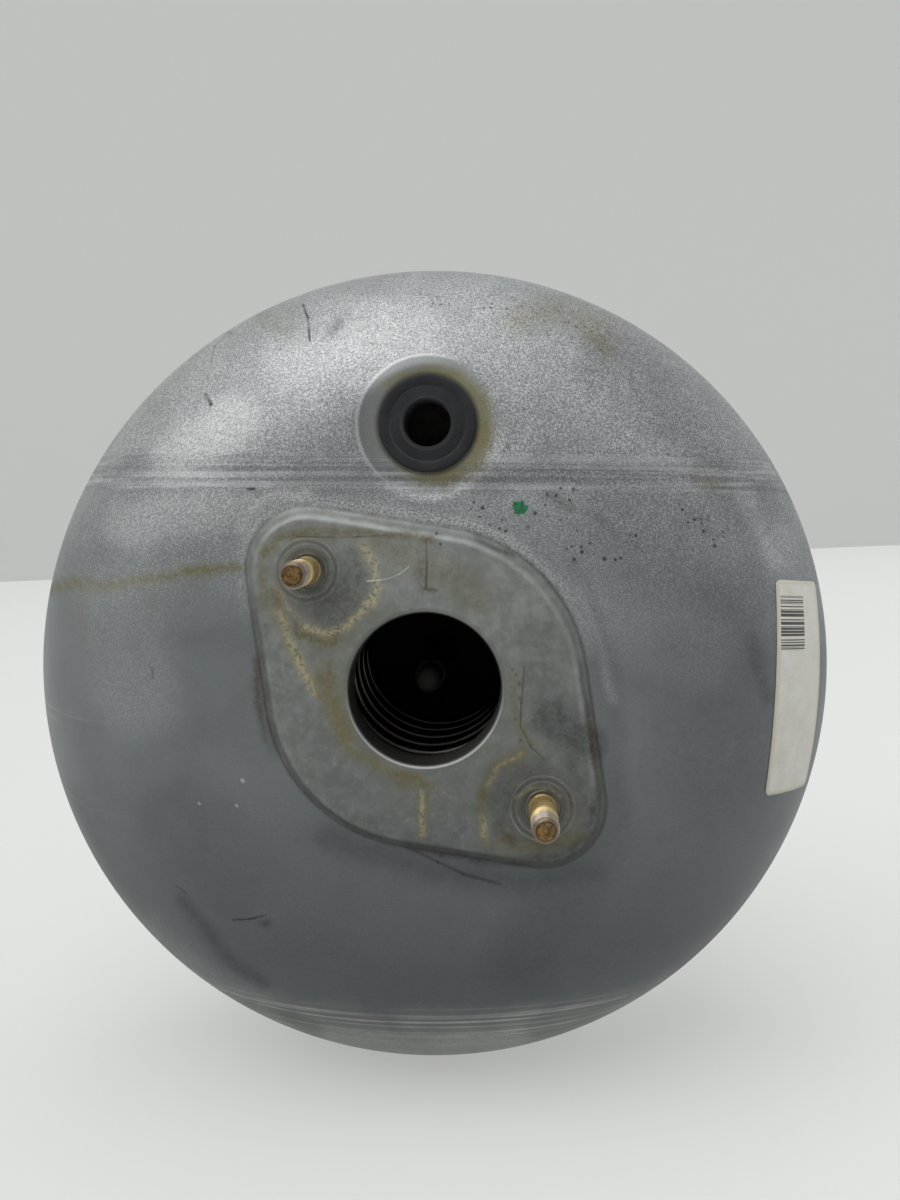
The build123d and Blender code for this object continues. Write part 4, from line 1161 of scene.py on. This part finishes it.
def buildBoot():
    f = bootForm
    collarR, inside, cuffR = f["collarR"], f["collarR"] - f["wall"], f["cuffR"]
    collar = roundedPath([(collarR - 0.7, f["collarStart"]), (collarR, f["collarStart"] + 0.6),
                          (collarR, f["collarStart"] + 2.2), (collarR - 0.3, f["collarStart"] + 2.8),
                          (collarR - 0.3, f["foldStart"] - 1.6), (collarR, f["foldStart"] - 1.0),
                          (collarR, f["foldStart"])], f["edgeRound"])
    collar += [(inside, f["foldStart"]), (inside, f["collarStart"])]
    cuffEnd = f["cuffEnd"]
    cuff = roundedPath([(cuffR, f["cuffStart"]), (cuffR, cuffEnd - 2.6), (cuffR + 0.9, cuffEnd - 2.1),
                        (cuffR + 0.9, cuffEnd - 0.5), (cuffR - 0.3, cuffEnd)], f["edgeRound"])
    pieces = [bootPiece("bootCollar", collar, "housing"),
              bootPiece("bootBellows", wallPath(bellowsPath(), f["wall"]), "housing"),
              bootPiece("bootCuff", wallPath(cuff, f["wall"]), "power_piston")]
    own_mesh(pieces[1])
    for piece in pieces:
        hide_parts("dust_boot")


buildBoot()
print("boot done")


# diaphragm: the rim with its outer leg, and the web with its inner leg
diaphragmForm = {"rubber": 1.6, "beadR": 140.3, "beadIn": 135.4, "beadFront": -32.2, "beadBack": -27.2,
                 "outerR": 133.6, "innerR": 113.9, "foldY": -48.6, "foldR": 8.0, "webY": -25.3, "webR": 5.0,
                 "hubR": 31.1, "hubBeadR": 35.0, "hubEnd": -21.0, "split": 124.0, "lap": 0.05, "steps": 200}


def buildDiaphragm():
    f = diaphragmForm
    t, middle = f["rubber"], (f["beadFront"] + f["beadBack"]) / 2
    foldY, foldR, webR = f["foldY"], f["foldR"], f["webR"]
    outerFold, innerFold = (f["outerR"] - foldR, foldY + foldR), (f["innerR"] + 6, foldY + foldR)
    webTurn = (f["innerR"] - webR, f["webY"] - webR)
    thin = t - f["lap"]
    rim = [(f["beadR"], f["beadFront"]), (f["beadR"], f["beadBack"]), (f["beadIn"], f["beadBack"]),
           (f["beadIn"], middle + t / 2), (f["outerR"] - t, middle + t / 2)]
    rim += arcLine(*outerFold, foldR - t, 0, -90, 8)
    rim += [(f["split"], foldY + t), (f["split"], foldY)]
    rim += arcLine(*outerFold, foldR, -90, 0, 8)
    rim += [(f["outerR"], middle - t / 2), (f["beadIn"], middle - t / 2), (f["beadIn"], f["beadFront"])]
    web = [(f["split"] - f["lap"], foldY), (f["split"] - f["lap"], foldY + t)]
    web += arcLine(*innerFold, foldR - t, -90, -160, 6)
    web += [(f["innerR"], foldY + 12), (f["innerR"], f["webY"] - webR)]
    web += arcLine(*webTurn, webR, 0, 90, 6)[1:]
    web += [(f["hubBeadR"], f["webY"]), (f["hubBeadR"], f["hubEnd"]), (f["hubR"], f["hubEnd"]),
            (f["hubR"], f["webY"] - thin), (webTurn[0], f["webY"] - thin)]
    web += arcLine(*webTurn, webR - thin, 90, 0, 6)[1:]
    web += [(f["innerR"] - thin, foldY + 11)]
    web += arcLine(*innerFold, foldR, -165, -90, 6)
    # the fold rolls on the real part, its bottom going half as far as the piston; here each leg is turned
    # from its outline and stays where it is made
    for name, profile, still, carried in (
            ("diaphragmRim", rim, f["beadFront"], 2 * foldY - f["beadFront"]),
            ("diaphragmWeb", web, 2 * foldY - f["webY"], f["webY"])):
        bm = bmesh.new()
        turnProfile(bm, profile, f["steps"], closed=True)
        piece = makePiece(name, bm, blackRubber, None, sharp=40)
        still * mm
        carried * mm
        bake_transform(piece)
        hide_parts("diaphragm")


buildDiaphragm()
print("diaphragm done")


# input rod with its adjusting thread
rodForm = {"ballY": 3.5, "ballR": 5.0, "neckR": 4.25, "shoulder": 47.5, "shankR": 5.0, "threadStart": 84.0,
           "end": 124.0, "pitch": 1.5, "depth": 0.85, "chamfer": 1.2, "sides": 40}


def buildInputRod():
    f = rodForm
    bm = bmesh.new()
    addThread(bm, f["shankR"], f["threadStart"], f["end"], f)
    bar = bmesh.new()
    turn = math.degrees(math.asin(f["neckR"] / f["ballR"]))
    profile = arcLine(0, f["ballY"], f["ballR"], -90, 90 - turn, 16)
    shankR, shoulder, join = f["shankR"], f["shoulder"], f["threadStart"] + 0.02
    profile += [(f["neckR"], shoulder), (shankR - 0.3, shoulder), (shankR, shoulder + 0.3), (shankR, join),
                (0, join)]
    turnProfile(bar, profile, 48)
    joinTo(bm, bar)
    piece = makePiece("inputRod", bm, plainSteel, "input_side", sharp=32)
    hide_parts("input_rod")


buildInputRod()
print("input rod done")


# sticker on the shoulder, left plain but for generic bars
stickerForm = {"top": (775.2, 579.6), "bottom": (764.4, 796.0), "bulge": 5.5, "width": 27.6, "lean": 4.5,
               "across": 22, "down": 96, "corner": 0.09, "long": 2.7, "proud": 0.10, "sheet": 0.12,
               "strips": 60, "walkStep": 0.18}
stickerLook = {"bars": 340.0, "barShare": 0.47, "barsAcross": (0.07, 0.55), "barsUp": (0.67, 0.93)}


def overShoulder(start, lengths):
    # points reached by walking outward over the face, each with its outward direction
    f = shellForm
    radius = math.hypot(start.x, start.z)
    drop = math.sin(math.radians(stickerForm["lean"]))
    walked, spots, last = 0.0, [], start
    while walked <= lengths[-1] + 0.4:
        z = start.z - drop * walked
        deep = domeDepth(radius)[0]
        slope = (domeDepth(radius + 0.05)[0] - domeDepth(radius - 0.05)[0]) / 0.1
        spot = Vector((math.sqrt(radius * radius - z * z), flangeY + deep, z))
        walked += (spot - last).length
        outward = Vector((spot.x / radius * slope, -1, spot.z / radius * slope)).normalized()
        spots.append((walked, spot, outward))
        last = spot
        radius = min(f["radius"] - 0.06, radius + stickerForm["walkStep"] / math.hypot(1, slope))
    return [min(spots, key=lambda item: abs(item[0] - length))[1:] for length in lengths]


def roundCorners(bm):
    f = stickerForm
    for sx in (-1, 1):
        for sy in (-1, 1):
            for a in map(math.radians, (15, 45, 75)):
                edge = Vector((sx * (0.5 - f["corner"] * (1 - math.cos(a))),
                               sy * (0.5 - f["corner"] / f["long"] * (1 - math.sin(a))), 0))
                slope = Vector((sx * math.cos(a), sy * math.sin(a) * f["long"], 0)).normalized()
                cutOff(bm, edge, slope, 1e-6)


def buildSticker():
    f = stickerForm
    bm = bmesh.new()
    bmesh.ops.create_grid(bm, x_segments=f["across"], y_segments=f["down"], size=0.5)
    roundCorners(bm)
    layer = bm.loops.layers.uv.new("sticker")
    for p in bm.faces:
        for loop in p.loops:
            loop[layer].uv = (loop.vert.co.x + 0.5, loop.vert.co.y + 0.5)
    strips = f["strips"]
    steps = [k * f["width"] / strips for k in range(strips + 1)]
    rows = {}
    for v in bm.verts:
        u, w = v.co.x + 0.5, 0.5 - v.co.y
        row = round(w, 4)
        if row not in rows:
            spot = Vector(f["top"]).lerp(Vector(f["bottom"]), w)
            start = onSkin(spot.x + f["bulge"] * 4 * w * (1 - w), spot.y)[0]
            rows[row] = overShoulder(start, steps)
        low = min(int(u * strips), strips - 1)
        (near, outward), (far, _) = rows[row][low:low + 2]
        v.co = near.lerp(far, u * strips - low) + outward * f["proud"]
    bmesh.ops.recalc_face_normals(bm, faces=bm.faces)
    if sum(p.normal.y for p in bm.faces) > 0:
        bmesh.ops.reverse_faces(bm, faces=bm.faces)
    piece = makePiece("partSticker", bm, stickerFinish(), "housing", sharp=60, recalc=False)
    giveSheet(piece, f["sheet"], 1)


def stickerFinish():
    newMaterial("stickerPaper")
    f = stickerLook
    u, v, _ = partsOf(fieldOf("UVMap", 0, {"uv_map": "sticker"}))
    real = objectPlace()
    cloud = noiseOf(real, 120.0, 5.0, 0.6)
    fine = noiseOf(real, 1400.0, 3.0, 0.6)
    colour = mixed(ranged(cloud, 0.35, 0.65), rgb(242, 237, 222), rgb(252, 250, 242))
    shaken = (cloud - 0.5) * 0.12
    edgeU = absolute(u - 0.5) + shaken
    edgeV = absolute(v - 0.5) + shaken * 0.3
    nearEdge = higher(ranged(edgeU, 0.42, 0.52), ranged(edgeV, 0.475, 0.505))
    colour = mixed(nearEdge * 0.5, colour, rgb(186, 168, 122))
    # plain bars, as on any part
    barPlace = fieldOf("CombineXYZ", 0, i0=0.0, i1=v * f["bars"], i2=0.0)
    barNoise = fieldOf("TexWhiteNoise", 0, {"noise_dimensions": "3D"}, Vector=vectorCalc("FLOOR", barPlace))
    bars = calc("GREATER_THAN", barNoise, f["barShare"])
    ends = [calc("GREATER_THAN", side, span[0]) * calc("LESS_THAN", side, span[1])
            for side, span in ((u, f["barsAcross"]), (v, f["barsUp"]))]
    colour = mixed(bars * (ends[0] * ends[1]) * 0.93, colour, rgb(40, 38, 36))
    colour = mixed(ranged(fine, 0.62, 0.74, 0.0, 0.5), colour, rgb(150, 140, 116))
    rough = ranged(cloud, 0.3, 0.7, 0.42, 0.6)
    return finished({"Base Color": colour, "Roughness": rough}, cloud + fine, 0.25)


buildSticker()
print("sticker done")


# dab of green marking paint
dabForm = {"place": (519.6, 507.6), "radius": 2.25, "height": 0.16}


def agedPaint():
    newMaterial("greenPaint")
    cloud = noiseOf(objectPlace(), 700.0, 5.0, 0.6)
    colour = mixed(ranged(cloud, 0.36, 0.64), rgb(30, 108, 66), rgb(52, 140, 94))
    colour = mixed(ranged(cloud, 0.70, 0.76, 0.0, 0.8), colour, rgb(150, 156, 150))
    return finished({"Base Color": colour, "Roughness": 0.5}, cloud)


def buildDab():
    f = dabForm
    centre, normal = onSkin(*f["place"])
    bm = bmesh.new()
    bmesh.ops.create_uvsphere(bm, u_segments=48, v_segments=16, radius=1.0)
    cutOff(bm, (0, 0, -0.05), (0, 0, -1))
    fillHoles(bm)
    for v in bm.verts:
        around = math.atan2(v.co.y, v.co.x)
        ragged = 1 + 0.42 * noise.noise(Vector((math.cos(around) * 1.7, math.sin(around) * 1.7, 4.1)))
        ragged += 0.2 * noise.noise(Vector((math.cos(around) * 5, math.sin(around) * 5, 1.3)))
        v.co.x *= f["radius"] * ragged
        v.co.y *= f["radius"] * ragged
        v.co.z *= f["height"] * (1 + 0.6 * noise.noise(Vector((v.co.x, v.co.y, 0.3))))
    bmesh.ops.rotate(bm, verts=bm.verts, matrix=normal.to_track_quat("Z", "Y").to_matrix())
    shiftBy(bm, *centre)
    piece = makePiece("paintDab", bm, agedPaint(), "housing", sharp=60)


buildDab()
print("paint done")


# floor, wall and light
stageForm = {"floorZ": -142.3, "wallLeft": (0, 582), "wallRight": (900, 545), "wallHeight": 6.0,
             "spread": 6.0, "nearEdge": -8.0, "floor": rgb(188, 189, 186), "wall": rgb(205, 206, 203),
             "floorGlow": 0.74, "wallGlow": 0.4}


def stageMaterial(name, colour, glow):
    # matt paint, with part of its level shown to the camera and to reflections alone
    newMaterial(name)
    rays = addNode("LightPath").outputs
    seen = higher(Field(rays["Is Camera Ray"]), Field(rays["Is Glossy Ray"]))
    seen = higher(seen, Field(rays["Is Transmission Ray"]))
    return finished({"Base Color": colour, "Roughness": 0.85, "Specular IOR Level": 0.2,
                     "Emission Color": colour, "Emission Strength": seen * glow})


def onFloor(px, py):
    ray = sightLine(px, py)
    return (eye + ray * ((stageForm["floorZ"] - eye.z) / ray.z)) * mm


def buildStage():
    f = stageForm
    left, right = onFloor(*f["wallLeft"]), onFloor(*f["wallRight"])
    away = (right - left).normalized() * f["spread"]
    left, right = left - away, right + away
    near, up = Vector((0, f["nearEdge"], 0)), Vector((0, 0, f["wallHeight"]))
    for name, corners in (("floor", (left, right, right + near, left + near)),
                          ("wall", (left, right, right + up, left + up))):
        bm = bmesh.new()
        bm.faces.new([bm.verts.new(p) for p in corners])
        mesh = meshOf(name, bm)
        mesh.materials.append(stageMaterial(name, f[name], f[name + "Glow"]))
        addToScene(name, mesh)


# a window is its direction, the cosines where it starts and is full, and its strength
skyForm = {"front": 0.21, "side": 0.43, "above": 0.66, "shown": 0.72, "tint": rgb(232, 235, 238),
           "windows": {"left": ((-0.79, -0.14, 0.585), 0.80, 0.96, 0.95),
                       "right": ((0.925, 0.227, 0.30), 0.86, 0.97, 0.6)}}
sunForm = {"from": (-0.35, -0.30, 1.0), "spread": 70.0, "strength": 1.33}


def lightScene():
    # an even room: bright above, dimmer in front, a pale window each side, and one broad soft sun
    f = skyForm
    world = bpy.data.worlds.new("room")
    bpy.context.scene.world = world
    world.use_nodes = True
    making["tree"] = world.node_tree
    back = world.node_tree.nodes["Background"].inputs
    way = fieldOf("TexCoord", "Generated")
    _, wayY, wayZ = partsOf(way)
    level = ranged(wayY, -0.9, 0.0, f["front"], f["side"])
    up = ranged(wayZ, 0.15, 0.8)
    level = level * (1.0 - up) + up * f["above"]
    for direction, start, full, strength in f["windows"].values():
        towards = vectorCalc("DOT_PRODUCT", way, Vector(direction).normalized())
        level = level + ranged(towards, start, full, 0.0, strength)
    seen = fieldOf("LightPath", "Is Camera Ray")
    level = fieldOf("Mix", 0, {"data_type": "FLOAT"}, i0=seen, i2=level, i3=f["shown"])
    feed(back["Color"], f["tint"])
    feed(back["Strength"], level)
    data = bpy.data.lights.new("sun", "SUN")
    data.energy, data.angle = sunForm["strength"], math.radians(sunForm["spread"])
    sun = addToScene("sun", data)
    sun.rotation_euler = Vector(sunForm["from"]).to_track_quat("Z", "Y").to_euler()
    bpy.context.scene.view_settings.view_transform = "Standard"


buildStage()
lightScene()
print("stage done")
